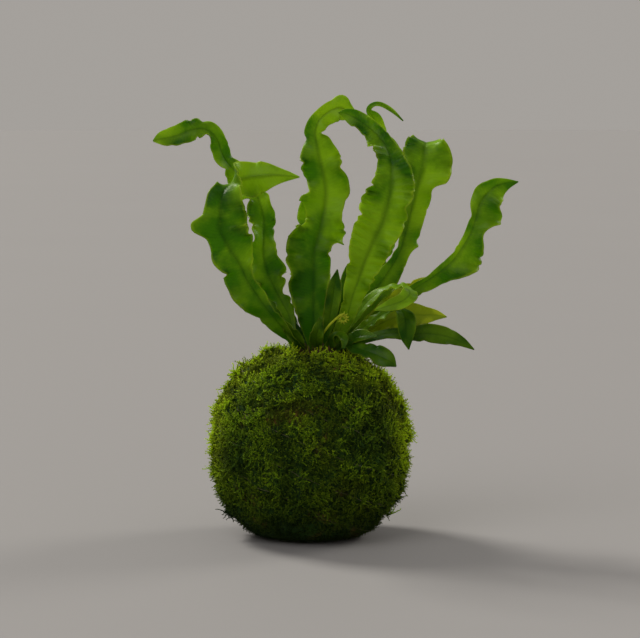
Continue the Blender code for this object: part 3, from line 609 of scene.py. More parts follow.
    "low_pale_frond": {
        "ruffle": (18, 14, 10, 0.5),
        "tone": (0.6, 1.1, 1.35),
        "rows": (
            (20.8, 0.5, 103.8, 1.5, 1.5, 0, -1, 0.3), (33, -1, 113, 3, 3, 0, -1, 0.3),
            (44, -4, 120, 6, 6, 0, -1, 0.2), (54, -4, 122.5, 7, 7, 0, -1, 0.2),
            (62, -4, 122.5, 5.5, 5.5, 0, -1, 0.1), (69.5, -4, 122.5, 3, 3, 0, -1, 0.1),
            (75.5, -4, 121.5, 0.3, 0.3, 0, -1, 0),
        ),
    },
    "low_dark_frond": {
        "ruffle": (20, 10, 10, 2.5),
        "tone": (0.3, 0.5, 0.95),
        "rows": (
            (20.5, -6, 103.5, 1.5, 1.5, 0, -1, 0.5), (31, -11, 110, 2.5, 2.5, 0, -1, 0.5),
            (44, -13, 113, 3, 3, 0, -1, 0.4), (55, -14, 113, 4, 4, 0, -1, 0.3),
            (66, -14, 113, 6, 5, 0, -1, 0.3), (75, -14, 111.5, 5, 4.5, 0, -1, 0.3),
            (83, -14, 108.5, 3, 2.5, 0, -1, 0.3), (90, -14, 104.5, 0.3, 0.3, 0, -1, 0.2),
        ),
    },
    "hanging_frond": {
        "ruffle": (18, 10, 8, 0.0),
        "tone": (0.35, 0.7, 0.45),
        "rows": (
            (17, -3, 103.5, 1.5, 1.5, -0.3, -1, 0.5), (29, -6, 115, 3, 3, -0.5, -1, 0.8),
            (41, -12, 123.5, 4.5, 4.5, -0.3, -0.8, 1), (49, -19, 126.5, 5, 5, 0.2, -0.3, 1),
            (52, -23, 121, 6, 5, 0.2, -1, 0.3), (52.5, -24, 113, 4.5, 3.5, 0, -1, 0),
            (54, -24, 105.5, 0.3, 0.3, 0, -1, 0),
        ),
    },
    "hooked_frond": {
        "ruffle": (18, 8, 8, 0.0),
        "tone": (0.45, 0.9, 1.4),
        "rows": (
            (13.5, -3, 103.5, 1.5, 1.5, -0.3, -1, 0.5), (23, -3.5, 118, 2.5, 2.5, -0.5, -1, 0.6),
            (35, -5, 132, 4, 4, -0.3, -0.8, 1), (46, -10, 138, 4.5, 4.5, 0, -0.3, 1),
            (54, -19, 137, 5, 5, 0.6, -0.6, 0.8), (52, -28, 133, 5, 4.5, 0, -0.8, 0.6),
            (44, -31, 130, 3.5, 3.5, 0, -1, 0.5), (35, -31, 127.5, 0.3, 0.3, 0, -1, 0.4),
        ),
    },
    "drooping_frond": {
        "ruffle": (18, 10, 8, 1.0),
        "tone": (0.3, 0.2, 0.3),
        "rows": (
            (14.5, -9, 103.5, 1.5, 1.5, 0, -1, 0.8), (20.5, -14, 107, 3, 3, 0, -0.8, 0.8),
            (26.5, -20.5, 105.5, 4.5, 4, 0.1, -1, 0.7), (33, -25.5, 104, 5.5, 4.5, 0.2, -1, 0.6),
            (38.5, -28, 102, 6, 5.5, 0.2, -1, 0.6), (43, -30, 100, 4.5, 4.5, 0.2, -1, 0.5),
            (47, -31, 97, 0.3, 0.3, 0.2, -1, 0.5),
        ),
    },
    "new_frond": {
        "ruffle": (18, 6, 20, 1.0),
        "tone": (0.2, 0.3, 0.2),
        "rows": (
            (7.5, -1.5, 103.5, 1.5, 1.5, 0, -1, 0), (10, -6, 115, 3, 3, 0, -1, 0),
            (12.5, -8.5, 128, 4.5, 4.5, 0, -1, 0), (14, -9.5, 139, 4, 4, 0, -1, 0),
            (15.5, -10, 148, 0.3, 0.3, 0, -1, 0),
        ),
    },
}

shortFronds = (
    "pale_young_frond", "low_pale_frond", "low_dark_frond", "hanging_frond", "hooked_frond",
    "drooping_frond", "new_frond", "back_low_left_frond", "back_low_right_frond",
)
frondSlots = {
    "low_pale_frond": "pale_leaf", "pale_young_frond": "pale_leaf",
    "low_dark_frond": "dark_leaf", "drooping_frond": "dark_leaf", "new_frond": "dark_leaf",
}
blade = {
    "stations": 200, "halves": 13,            # strips along the blade and across each half
    "shortStations": 110, "shortHalves": 9,
    "thick": 0.45 * mm, "marginShare": 0.45,  # the margin is thinner than the midrib
    "footDrop": 5.0,                          # how far the foot runs down into the crown, in mm
    "footWidth": 3.6, "footLength": 42.0,     # the stalk is at least this wide at its foot
    "easeIn": 0.25, "easeOut": 0.15,          # shares of the length over which ruffles fade
    "sideShift": 2.2,                         # the two margins ruffle out of step
    "groove": 16.0, "grooveWidth": 0.15,      # the sunken midrib
    "crimp": 34.0, "crimpWave": 9.0,          # small waves along the margin, degrees and mm
    # the last value on the next line is how strongly the painted fold light and shade show
    "crease": 1.5, "creaseWave": 4.3, "swingMore": 1.7, "foldShadeShare": 0.42,
}


def smoothPath(rows, count):
    # a smooth curve through the rows, as this many evenly spaced ones, and their distances
    rows = np.array(rows, float)
    rows = np.vstack([2 * rows[0] - rows[1], rows, 2 * rows[-1] - rows[-2]])
    found = []
    steps = 12
    for a, b, c, d in zip(rows, rows[1:], rows[2:], rows[3:]):
        for step in range(steps):
            t = step / steps
            bend = (2 * a - 5 * b + 4 * c - d) * t**2 + (3 * b - a - 3 * c + d) * t**3
            found.append(b + 0.5 * ((c - a) * t + bend))
    found = np.array(found + [rows[-2]])
    lengths = np.linalg.norm(np.diff(found[:, :3], axis=0), axis=1)
    along = np.concatenate([[0], np.cumsum(lengths)])
    wanted = np.linspace(0, along[-1], count)
    return np.column_stack([np.interp(wanted, along, column) for column in found.T]), wanted


def unit(vectors):
    return vectors / np.linalg.norm(vectors, axis=1)[:, None]


def bladeSurface(frond, stations, halves, seed):
    # the blade's middle surface, station by station, from the left margin to the right
    wave, swing, fold, start = frond["ruffle"]
    path, along = smoothPath(frond["rows"], stations + 1)
    middle = path[:, :3]
    ahead = unit(np.gradient(middle, axis=0))
    face = path[:, 5:8]
    face = unit(face - (face * ahead).sum(axis=1)[:, None] * ahead)
    right = np.cross(ahead, face)
    length = along[-1]
    fade = np.clip(along / (blade["easeIn"] * length), 0, 1)
    fade *= np.clip((length - along) / (blade["easeOut"] * length), 0, 1)
    turn = 2 * np.pi * along
    drift = 1.3 * np.sin(turn / 41 + seed) + 0.8 * np.sin(turn / 17 + 2 * seed)
    crimping = 0.65 + 0.35 * np.sin(turn / 53 + 3 * seed)
    swing = swing * blade["swingMore"]
    crimpSize = frond.get("crimp", blade["crimp"])
    creaseSize = frond.get("crease", blade["crease"])
    points = np.zeros((stations + 1, 2 * halves + 1, 3))
    points[:, halves] = middle
    stalk = blade["footWidth"] * np.clip(1 - along / blade["footLength"], 0, 1)
    for side, width, phase in ((-1, path[:, 3], start), (1, path[:, 4], start + blade["sideShift"])):
        ruffle = np.sin(turn / wave + phase)
        crimp = np.sin(turn / blade["crimpWave"] + drift * 1.5 + side)
        edge = middle.copy()
        width = np.maximum(width, stalk)
        for strip in range(1, halves + 1):
            share = (strip - 0.5) / halves
            crease = np.sin(2 * np.pi * (along - share * 3) / blade["creaseWave"] + drift)
            lift = fold + blade["groove"] * math.exp(-(share / blade["grooveWidth"]) ** 2)
            crimped = crimpSize * crimping * crimp * max(0.0, share - 0.35) / 0.65
            creased = creaseSize * crease * math.sin(math.pi * share)
            lift = np.radians(lift + fade * (swing * ruffle * share + crimped + creased))
            outward = side * np.cos(lift)[:, None] * right + np.sin(lift)[:, None] * face
            edge = edge + outward * (width / halves)[:, None]
            points[:, halves + side * strip] = edge
    return points, along


def makeFrond(name, frond, seed, nodes):
    short = name in shortFronds or not nodes
    stations = blade["shortStations" if short else "stations"]
    halves = blade["shortHalves" if short else "halves"]
    first = frond["rows"][0]
    foot = (first[0], first[1], first[2] - blade["footDrop"], *first[3:])
    grown = {**frond, "rows": (foot, *frond["rows"])}
    points, along = bladeSurface(grown, stations, halves, seed)
    bm = bmesh.new()
    bmesh.ops.create_grid(bm, x_segments=stations, y_segments=2 * halves, size=1)
    layers = {key: bm.verts.layers.float.new(key) for key in ("across", "along", "tone")}
    tones = np.interp(along, np.linspace(0, along[-1], len(frond["tone"])), frond["tone"])
    weight = bm.verts.layers.deform.verify()
    # painted light and shade: a fold that tips up is painted paler than one that tips down, as if lit from
    # above, and some blades have one half painted darker than the other
    wave, _, _, start = frond["ruffle"]
    turn = 2 * np.pi * along / wave + start
    tipped = {-1: -np.cos(turn), 1: -np.cos(turn + blade["sideShift"])}
    for vert in bm.verts:
        station = round((vert.co.x + 1) / 2 * stations)
        strip = round((vert.co.y + 1) * halves)
        across = strip / halves - 1
        side = 1 if across > 0 else -1
        paintedFoldShade = blade["foldShadeShare"] * abs(across) * tipped[side][station]
        paintedFoldShade += frond.get("halfShade", (0, 0))[side > 0] * min(1, 4 * abs(across))
        vert.co = Vector(points[station, strip]) * mm
        vert[layers["across"]] = across
        vert[layers["along"]] = along[station] * mm
        vert[layers["tone"]] = tones[station] + paintedFoldShade
        vert[weight][0] = 1 - abs(across) ** 0.6
    mesh = bpy.data.meshes.new(name)
    bmesh.ops.recalc_face_normals(bm, faces=bm.faces)
    bm.to_mesh(mesh)
    bm.free()
    # leaves with no node of their own sit low in the tuft and get the shade-painted copy
    slot = frondSlots.get(name, "leaf" if nodes else "dark_leaf")
    made = newObject(name + "_blade", mesh, leafMaterials[slot])
    made.vertex_groups.new(name="thickness")
    wall = made.modifiers.new("thickness", "SOLIDIFY")
    wall.thickness = 2 * blade["thick"]
    wall.offset = 0
    wall.vertex_group = "thickness"
    wall.thickness_vertex_group = blade["marginShare"]
    settle(made)
    made.data.shade_smooth()
    hand(made, slot, *nodes)
    return made


for seed, (name, frond) in enumerate(fronds.items()):
    makeFrond(name, frond, seed, (name,))
print("fronds made:", len(fronds))


# small new leaves round the foot, which have no node of their own

youngLeaves = {
    "young_front_leaf": (
        (4, -8, 104, 2.5, 2.5, 0, -1, 0.2), (4, -13, 110, 4, 4, 0, -1, 0.2),
        (5, -16.5, 116, 3.5, 3.5, 0, -1, 0.2), (6.5, -18, 122, 0.3, 0.3, 0, -1, 0.2)),
    "young_nodding_leaf": (
        (11, -8, 104, 2, 2, 0.2, -1, 0.5), (14, -13, 110, 3.5, 3.5, 0.2, -1, 0.6),
        (17, -18, 112.5, 3.5, 3.5, 0.2, -0.8, 1), (19, -22, 110, 2.5, 2.5, 0.2, -1, 0.5),
        (18.5, -24, 106, 0.3, 0.3, 0.2, -1, 0.2)),
    "young_left_leaf": (
        (-3, -7, 104, 2, 2, -0.3, -1, 0.2), (-6.5, -12, 110, 3.5, 3.5, -0.3, -1, 0.2),
        (-11, -16, 116, 3.2, 3.2, -0.3, -1, 0.2), (-15, -18, 122, 0.3, 0.3, -0.3, -1, 0.2)),
    "young_right_leaf": (
        (16, -6, 104, 2, 2, 0.2, -1, 0.4), (22.5, -12, 109, 4, 4, 0.2, -1, 0.5),
        (29, -17, 112, 4, 4, 0.2, -1, 0.7), (37, -22, 112.5, 0.3, 0.3, 0.2, -1, 0.5)),
    "young_back_left_leaf": (
        (-2, 4, 104, 2.5, 2.5, 0, 1, 0), (-7, 10, 112, 4, 4, -0.2, 1, -0.3),
        (-11, 15, 120, 3.5, 3.5, -0.2, 1, -0.4), (-14, 19, 127, 0.3, 0.3, -0.2, 1, -0.4)),
    "young_back_right_leaf": (
        (9, 8, 104, 2.5, 2.5, 0, 1, 0), (10, 14, 112, 4.5, 4.5, 0, 1, -0.3),
        (11, 20, 121, 4, 4, 0.1, 1, -0.4), (13, 25, 129, 0.3, 0.3, 0.1, 1, -0.4)),
}
for seed, (name, rows) in enumerate(youngLeaves.items()):
    makeFrond(name, {"ruffle": (14, 14, 16, seed), "tone": (0.1, 0.25, 0.4), "rows": rows}, seed, ())
print("young leaves made:", len(youngLeaves))


# the new frond that is still rolled up

fiddlehead = {
    "stalk": ((6, -9.5, 99.5), (6, -9.5, 103.5), (6.8, -13, 111), (9.5, -15, 116),
              (13, -16, 120), (17, -16.5, 123.5)),
    "radius": 0.5, "coilRadius": 2.3, "coilTurns": 1.4, "leaflets": 12,
}


def makeFiddlehead():
    # a new frond still rolled up: a thin stalk that ends in a flat coil with folded leaflets
    data = fiddlehead
    path, _ = smoothPath(data["stalk"], 40)
    points = [Vector(point) for point in path]
    ahead = (points[-1] - points[-2]).normalized()
    outward = Vector((ahead.z, 0, -ahead.x))
    middle = points[-1] + outward * data["coilRadius"]
    steps = 48
    coil = []
    for step in range(1, steps + 1):
        turn = 2 * math.pi * data["coilTurns"] * step / steps
        shrink = data["coilRadius"] * (1 - 0.7 * step / steps)
        coil.append(middle + shrink * (ahead * math.sin(turn) - outward * math.cos(turn)))
    curve = bpy.data.curves.new("fiddlehead", "CURVE")
    curve.dimensions = "3D"
    curve.bevel_depth = data["radius"] * mm
    curve.bevel_resolution = 3
    curve.use_fill_caps = True
    spline = curve.splines.new("POLY")
    spline.points.add(len(points) + len(coil) - 1)
    for index, (knot, point) in enumerate(zip(spline.points, points + coil)):
        knot.co = (*(point * mm), 1)
        share = index / (len(points) + len(coil))
        swell = 0.75 + 0.5 * math.sin(math.pi * min(1, share * 1.3))
        knot.radius = swell if share < 0.75 else 1.75 - share
    shape = bpy.data.objects.new("fiddlehead", curve)
    bpy.context.scene.collection.objects.link(shape)
    bpy.context.view_layer.update()
    graph = bpy.context.evaluated_depsgraph_get()
    mesh = bpy.data.meshes.new_from_object(shape.evaluated_get(graph))
    bpy.data.objects.remove(shape)
    bm = bmesh.new()
    bm.from_mesh(mesh)
    bmesh.ops.remove_doubles(bm, verts=bm.verts, dist=0.00001)
    for index in range(data["leaflets"]):
        # folded leaflets stand off the outer side of the coil
        knot = coil[4 + index * 3]
        out = (knot - middle).normalized()
        lean = Vector((0, -1 if index % 2 else 1, 0))
        tip = (knot + out * 1.5 + lean * 0.9) * mm
        place = Matrix.Translation((knot + out * 0.5) * mm)
        cone = bmesh.ops.create_cone(
            bm, cap_ends=True, segments=5, radius1=0.75 * mm, radius2=0.06 * mm, depth=2.2 * mm,
            matrix=place @ (tip - knot * mm).to_track_quat("Z", "Y").to_matrix().to_4x4())
        bmesh.ops.translate(bm, verts=cone["verts"], vec=out * 0.4 * mm)
    for key, value in (("across", 0.95), ("tone", 1.6)):
        layer = bm.verts.layers.float.new(key)
        for vert in bm.verts:
            vert[layer] = value
    layer = bm.verts.layers.float.new("along")
    for vert in bm.verts:
        vert[layer] = vert.co.z
    bm.to_mesh(mesh)
    bm.free()
    made = newObject("fiddlehead_coil", mesh, leafMaterials["pale_leaf"])
    mesh.shade_smooth()
    hand(made, "pale_leaf", "fiddlehead")


makeFiddlehead()
print("fiddlehead made")


# the moss: a lumpy felt, and shoots that grow on it

moss = {
    "smoothing": 3, "clump": 1.5 * mm, "clumpScale": 82.0, "tuft": 1.5 * mm, "tuftScale": 170.0,
    "raise": -1.2 * mm,
}


def makeFeltTree():
    # the sheet of moss, lumpy where clumps grew together, and flat where it rests
    tree, given, result = newTree(
        "moss felt", "GeometryNodeTree",
        [("Geometry", "Geometry"), ("Clump", "Float"), ("Clump Scale", "Float"),
         ("Tuft", "Float"), ("Tuft Scale", "Float"), ("Raise", "Float"), ("Material", "Material")],
        [("Geometry", "Geometry")])
    place = put(tree, "GeometryNodeInputPosition").outputs[0]
    facing = put(tree, "GeometryNodeInputNormal").outputs[0]
    # cushions with creases between them, bent out of shape by a slow noise
    warp = vectorCalc(tree, "SUBTRACT", noise(tree, place, 45.0, 2.0, colour=True), (0.5, 0.5, 0.5))
    bent = vectorCalc(tree, "ADD", place, vectorCalc(tree, "SCALE", warp, 0.022))
    cells = put(tree, "ShaderNodeTexVoronoi", {
        "Vector": bent, "Scale": given["Clump Scale"], "Smoothness": 0.6}, feature="SMOOTH_F1")
    wide = calc(tree, "SUBTRACT", 0.40, cells.outputs["Distance"])
    fine = calc(tree, "SUBTRACT", noise(tree, place, given["Tuft Scale"], 2.0), 0.5)
    reach = calc(tree, "MULTIPLY_ADD", wide, calc(tree, "MULTIPLY", given["Clump"], 4.0), given["Raise"])
    reach = calc(tree, "MULTIPLY_ADD", fine, calc(tree, "MULTIPLY", given["Tuft"], 3.0), reach)
    height = put(tree, "ShaderNodeSeparateXYZ", {0: place}).outputs["Z"]
    reach = calc(tree, "MULTIPLY", reach, ramp(tree, height, 0.002, 0.016))
    marked = put(tree, "GeometryNodeStoreNamedAttribute", {
        "Geometry": given["Geometry"], "Name": "depth", "Value": ramp(tree, wide, -0.2, 0.22)},
        data_type="FLOAT", domain="POINT")
    moved = put(tree, "GeometryNodeSetPosition", {
        "Geometry": marked.outputs[0], "Offset": vectorCalc(tree, "SCALE", facing, reach)})
    ground = keepAboveGround(tree, moved.outputs[0], 0.0)
    dressed = put(tree, "GeometryNodeSetMaterial", {"Geometry": ground, "Material": given["Material"]})
    tree.links.new(dressed.outputs[0], result["Geometry"])
    return tree


def keepAboveGround(tree, geometry, floor):
    place = put(tree, "GeometryNodeInputPosition").outputs[0]
    lifted = vectorCalc(tree, "MAXIMUM", place, (-1.0, -1.0, floor))
    return put(tree, "GeometryNodeSetPosition", {"Geometry": geometry, "Position": lifted}).outputs[0]


def mergedCopy(node):
    # the frame's mesh is loose triangles: a copy of it, sewn up and in quads
    bm = bmesh.new()
    bm.from_mesh(frame["nodes"][node].data)
    bmesh.ops.remove_doubles(bm, verts=bm.verts, dist=0.00002)
    bmesh.ops.join_triangles(
        bm, faces=bm.faces, angle_face_threshold=0.6, angle_shape_threshold=0.6)
    mesh = bpy.data.meshes.new(node + " copy")
    bm.to_mesh(mesh)
    bm.free()
    return mesh


def makeFelt():
    base = newObject("moss_felt", mergedCopy("moss_cover"))
    rounder = base.modifiers.new("rounder", "SUBSURF")
    rounder.levels = rounder.render_levels = moss["smoothing"]
    settle(base)
    bpy.context.scene.collection.objects.unlink(base)
    made = growOn("moss_felt_sheet", base.data, makeFeltTree(), {
        "Clump": moss["clump"], "Clump Scale": moss["clumpScale"], "Tuft": moss["tuft"],
        "Tuft Scale": moss["tuftScale"], "Raise": moss["raise"], "Material": matMaterial})
    made.data.shade_smooth()
    hand(made, "moss", "moss_cover")
    return made


felt = makeFelt()
print("moss felt made")


def spike(bm, foot, tip, width, layer, footReach, tipReach):
    # a slim closed tetrahedron
    ahead = (tip - foot).normalized()
    side = ahead.orthogonal().normalized()
    other = ahead.cross(side)
    ring = [foot + width * (side * math.cos(a) + other * math.sin(a)) for a in (0.3, 2.4, 4.5)]
    verts = [bm.verts.new(point) for point in ring] + [bm.verts.new(tip)]
    for vert in verts[:3]:
        vert[layer] = footReach
    verts[3][layer] = tipReach
    bm.faces.new((verts[2], verts[1], verts[0]))
    for a, b in ((0, 1), (1, 2), (2, 0)):
        bm.faces.new((verts[a], verts[b], verts[3]))


shoots = {  # the stem, then its leaflets; lengths and widths are in mm
    "feather": {"length": 6.0, "curl": 1.0, "sway": 0.12,
                "leaflets": 8, "leafLength": 1.05, "spread": 0.75, "width": 0.32},
    "curled": {"length": 5.0, "curl": 2.2, "sway": 0.22,
               "leaflets": 8, "leafLength": 0.9, "spread": 0.7, "width": 0.32},
    "tufted": {"length": 3.0, "curl": 0.8, "sway": 0.05,
               "leaflets": 8, "leafLength": 1.25, "spread": 0.8, "width": 0.30},
}


def makeShoot(name, shape, collection):
    # a moss shoot along +X: a bent tapering stem with leaflets that point forward
    bm = bmesh.new()
    layer = bm.verts.layers.float.new("reach")

    def stem(share):
        bend = shape["curl"] * share * share
        sway = shape["sway"] * math.sin(4 * share)
        point = Vector((share * math.cos(0.35 * bend), sway, 0.25 * bend * share))
        return point * shape["length"] * mm

    rings = []
    for share, radius in ((0.0, 0.26), (0.45, 0.2), (0.8, 0.13)):
        ring = []
        for turn in range(3):
            angle = turn * 2 * math.pi / 3
            across = Vector((0, math.cos(angle), math.sin(angle))) * radius * mm
            vert = bm.verts.new(stem(share) + across)
            vert[layer] = share * 0.8
            ring.append(vert)
        rings.append(ring)
    tip = bm.verts.new(stem(1.0))
    tip[layer] = 1.0
    bm.faces.new(rings[0][::-1])
    for low, high in zip(rings, rings[1:]):
        for a in range(3):
            b = (a + 1) % 3
            bm.faces.new((low[a], low[b], high[b], high[a]))
    for a in range(3):
        bm.faces.new((rings[-1][a], rings[-1][(a + 1) % 3], tip))
    for index in range(shape["leaflets"]):
        share = 0.12 + 0.78 * index / (shape["leaflets"] - 1)
        foot = stem(share)
        side = 1 if index % 2 else -1
        lift = 0.45 + 0.25 * math.sin(3 * index)
        way = Vector((1 - shape["spread"] * 0.4, side * shape["spread"], lift)).normalized()
        size = shape["leafLength"] * (1.1 - 0.5 * share) * mm
        spike(bm, foot, foot + way * size, shape["width"] * mm, layer, share * 0.7, min(1, share + 0.35))
    bmesh.ops.recalc_face_normals(bm, faces=bm.faces)
    mesh = bpy.data.meshes.new(name)
    bm.to_mesh(mesh)
    bm.free()
    made = bpy.data.objects.new(name, mesh)
    collection.objects.link(made)
    return made


def makeShootTree():
    # shoots scattered over the outside of a sheet, lying along it and lifting at their tips
    tree, given, result = newTree(
        "moss shoots", "GeometryNodeTree",
        [("Geometry", "Geometry"), ("Shoots", "Collection"), ("Material", "Material"),
         ("Density", "Float"), ("Seed", "Int"), ("Size", "Float"), ("Size Spread", "Float"),
         ("Low Lift", "Float"), ("High Lift", "Float"), ("Flow Scale", "Float"),
         ("Facing", "Vector"), ("Facing Limit", "Float"), ("Centre Height", "Float")],
        [("Geometry", "Geometry")])
    place = put(tree, "GeometryNodeInputPosition").outputs[0]
    facing = put(tree, "GeometryNodeInputNormal").outputs[0]
    # only the outside of the sheet, and only the sector asked for
    middle = put(tree, "ShaderNodeCombineXYZ", {"Z": given["Centre Height"]}).outputs[0]
    fromMiddle = vectorCalc(tree, "SUBTRACT", place, middle)
    outward = vectorCalc(tree, "DOT_PRODUCT", vectorCalc(tree, "NORMALIZE", fromMiddle), facing)
    outside = calc(tree, "GREATER_THAN", outward, 0.15)
    level = vectorCalc(tree, "NORMALIZE", vectorCalc(tree, "MULTIPLY", place, (1.0, 1.0, 0.0)))
    towards = vectorCalc(tree, "DOT_PRODUCT", level, given["Facing"])
    sector = calc(tree, "GREATER_THAN", towards, given["Facing Limit"])
    height = put(tree, "ShaderNodeSeparateXYZ", {0: place}).outputs["Z"]
    above = calc(tree, "GREATER_THAN", height, 0.0012)
    wanted = calc(tree, "MULTIPLY", calc(tree, "MULTIPLY", outside, sector), above)
    scatter = put(tree, "GeometryNodeDistributePointsOnFaces", {
        "Mesh": given["Geometry"], "Selection": wanted, "Density": given["Density"],
        "Seed": given["Seed"]})
    normal = scatter.outputs["Normal"]
    # the stems follow a slow swirl over the surface, each a little off it
    swirl = noise(tree, place, given["Flow Scale"], 1.0, colour=True)
    swirl = vectorCalc(tree, "SUBTRACT", swirl, (0.5, 0.5, 0.47))
    chance = put(tree, "FunctionNodeRandomValue", {
        0: (-0.2, -0.2, -0.2), 1: (0.2, 0.2, 0.2), "Seed": given["Seed"]}, data_type="FLOAT_VECTOR")
    swirl = vectorCalc(tree, "ADD", swirl, chance.outputs[0])
    inward = vectorCalc(tree, "SCALE", normal, vectorCalc(tree, "DOT_PRODUCT", swirl, normal))
    flat = vectorCalc(tree, "NORMALIZE", vectorCalc(tree, "SUBTRACT", swirl, inward))
    lift = put(tree, "FunctionNodeRandomValue", {
        2: given["Low Lift"], 3: given["High Lift"],
        "Seed": calc(tree, "ADD", given["Seed"], 11.0)}).outputs[1]
    grown = ramp(tree, height, 0.0, 0.020, 0.45, 1.0)  # smaller where the ball rests
    lift = calc(tree, "MULTIPLY", lift, grown)
    way = vectorCalc(tree, "ADD", flat, vectorCalc(tree, "SCALE", normal, lift))
    size = put(tree, "FunctionNodeRandomValue", {
        2: calc(tree, "SUBTRACT", given["Size"], given["Size Spread"]),
        3: calc(tree, "ADD", given["Size"], given["Size Spread"]),
        "Seed": calc(tree, "ADD", given["Seed"], 5.0)}).outputs[1]
    turned = put(tree, "FunctionNodeAlignRotationToVector", {"Vector": way}, axis="X")
    turned = put(tree, "FunctionNodeAlignRotationToVector", {
        "Rotation": turned.outputs[0], "Vector": normal}, axis="Z", pivot_axis="X")
    kinds = put(tree, "GeometryNodeCollectionInfo", {
        "Collection": given["Shoots"], "Separate Children": True, "Reset Children": True})
    placed = put(tree, "GeometryNodeInstanceOnPoints", {
        "Points": scatter.outputs["Points"], "Instance": kinds.outputs[0], "Pick Instance": True,
        "Rotation": turned.outputs[0], "Scale": calc(tree, "MULTIPLY", size, grown)})
    tint = put(tree, "FunctionNodeRandomValue", {"Seed": calc(tree, "ADD", given["Seed"], 3.0)}).outputs[1]
    marked = put(tree, "GeometryNodeStoreNamedAttribute", {
        "Geometry": placed.outputs[0], "Name": "tint", "Value": tint}, data_type="FLOAT", domain="INSTANCE")
    real = put(tree, "GeometryNodeRealizeInstances", {"Geometry": marked.outputs[0]}).outputs[0]
    ground = keepAboveGround(tree, real, 0.0003)
    dressed = put(tree, "GeometryNodeSetMaterial", {"Geometry": ground, "Material": given["Material"]})
    tree.links.new(dressed.outputs[0], result["Geometry"])
    return tree


shootKinds = bpy.data.collections.new("shoot kinds")
for name, shape in shoots.items():
    makeShoot(name, shape, shootKinds)
shootTree = makeShootTree()
shootLayers = {
    # name: facing, limit, density per square metre, size, spread, low and high lift, flow scale
    "moss_under_layer": ((1, 0, 0), -2.0, 92000.0, 1.15, 0.25, -0.02, 0.15, 35.0),
    "moss_front_shoots": ((0, -1, 0), 0.7071, 395000.0, 1.0, 0.45, -0.08, 0.18, 60.0),
    "moss_left_shoots": ((-1, 0, 0), 0.7071, 395000.0, 1.0, 0.45, -0.08, 0.18, 60.0),
    "moss_right_shoots": ((1, 0, 0), 0.7071, 395000.0, 1.0, 0.45, -0.08, 0.18, 60.0),
    "moss_back_shoots": ((0, 1, 0), 0.7071, 395000.0, 1.0, 0.45, -0.08, 0.18, 60.0),
    "moss_tips": ((1, 0, 0), -2.0, 52000.0, 1.2, 0.4, 0.0, 0.28, 90.0),
}
for seed, (name, layer) in enumerate(shootLayers.items()):
    facing, limit, density, size, spread, lowLift, highLift, flow = layer
    made = growOn(name, felt.data.copy(), shootTree, {
        "Shoots": shootKinds, "Material": shootMaterial, "Density": density, "Seed": seed,
        "Size": size, "Size Spread": spread, "Low Lift": lowLift, "High Lift": highLift,
        "Flow Scale": flow, "Facing": tuple(float(v) for v in facing), "Facing Limit": limit,
        "Centre Height": ballCentre})
    hand(made, "moss")
print("moss shoots made")

# a few loose sprigs that hang off the ball: where each starts in mm, the way it points, its
# size and how many shoots are in it
sprigs = (
    ((-53, -12, 40), (-0.2, -0.1, -1.0), 1.3, 9),
    ((-45, -17, 27), (0.0, -0.1, -1.0), 1.3, 10),
    ((-36, -20, 17), (0.1, -0.2, -1.0), 1.0, 7),
    ((44, -22, 15), (1.0, -0.3, 0.25), 1.5, 5),
    ((54, -6, 45), (1.0, -0.1, 0.1), 1.0, 4),
    ((-38, -12, 90), (-0.7, -0.1, 0.8), 1.1, 6),
    ((-28, -8, 97), (-0.3, -0.2, 1.0), 1.0, 6),
    ((40, -10, 88), (0.7, -0.2, 0.8), 1.0, 5),
    ((20, 46, 30), (0.2, 0.8, -0.7), 1.4, 6),
    ((-30, 42, 62), (-0.4, 0.9, 0.1), 1.2, 5),
)


def makeSprigs():
    bm = bmesh.new()
    kinds = list(shootKinds.objects)
    for number, (start, way, size, count) in enumerate(sprigs):
        start = Vector(start) * mm
        way = Vector(way).normalized()
        beside = way.cross(Vector((0, 0, 1)) if abs(way.z) < 0.8 else Vector((0, 1, 0))).normalized()
        for index in range(count):
            fan = (index - (count - 1) / 2) * 0.28
            nod = 0.25 * math.sin(2.1 * index + number)
            turned = (way + beside * fan + way.cross(beside) * nod).normalized()
            place = turned.to_track_quat("X", "Z").to_matrix().to_4x4()
            place = Matrix.Translation(start - turned * 1.5 * mm) @ place
            before = len(bm.verts)
            bm.from_mesh(kinds[(index + number) % len(kinds)].data)
            bm.verts.ensure_lookup_table()
            for vert in bm.verts[before:]:
                vert.co = place @ (vert.co * size * (0.8 + 0.2 * math.cos(index)))
    for key, value in (("tint", 0.0), ("depth", 2.0)):
        layer = bm.verts.layers.float.new(key)
        for vert in bm.verts:
            vert[layer] = value
    mesh = bpy.data.meshes.new("loose sprigs")
    bm.to_mesh(mesh)
    bm.free()
    hand(newObject("loose_sprigs", mesh, shootMaterial), "moss")


makeSprigs()
print("sprigs made")


# the thread round the moss

thread = {
    "radius": 0.24 * mm, "clear": 0.35 * mm, "turns": 4.0, "tilt": 20.0, "from": 52.0, "to": 124.0,
    "points": 900, "plyTurns": 330.0, "centre": 50.5 * mm,
}


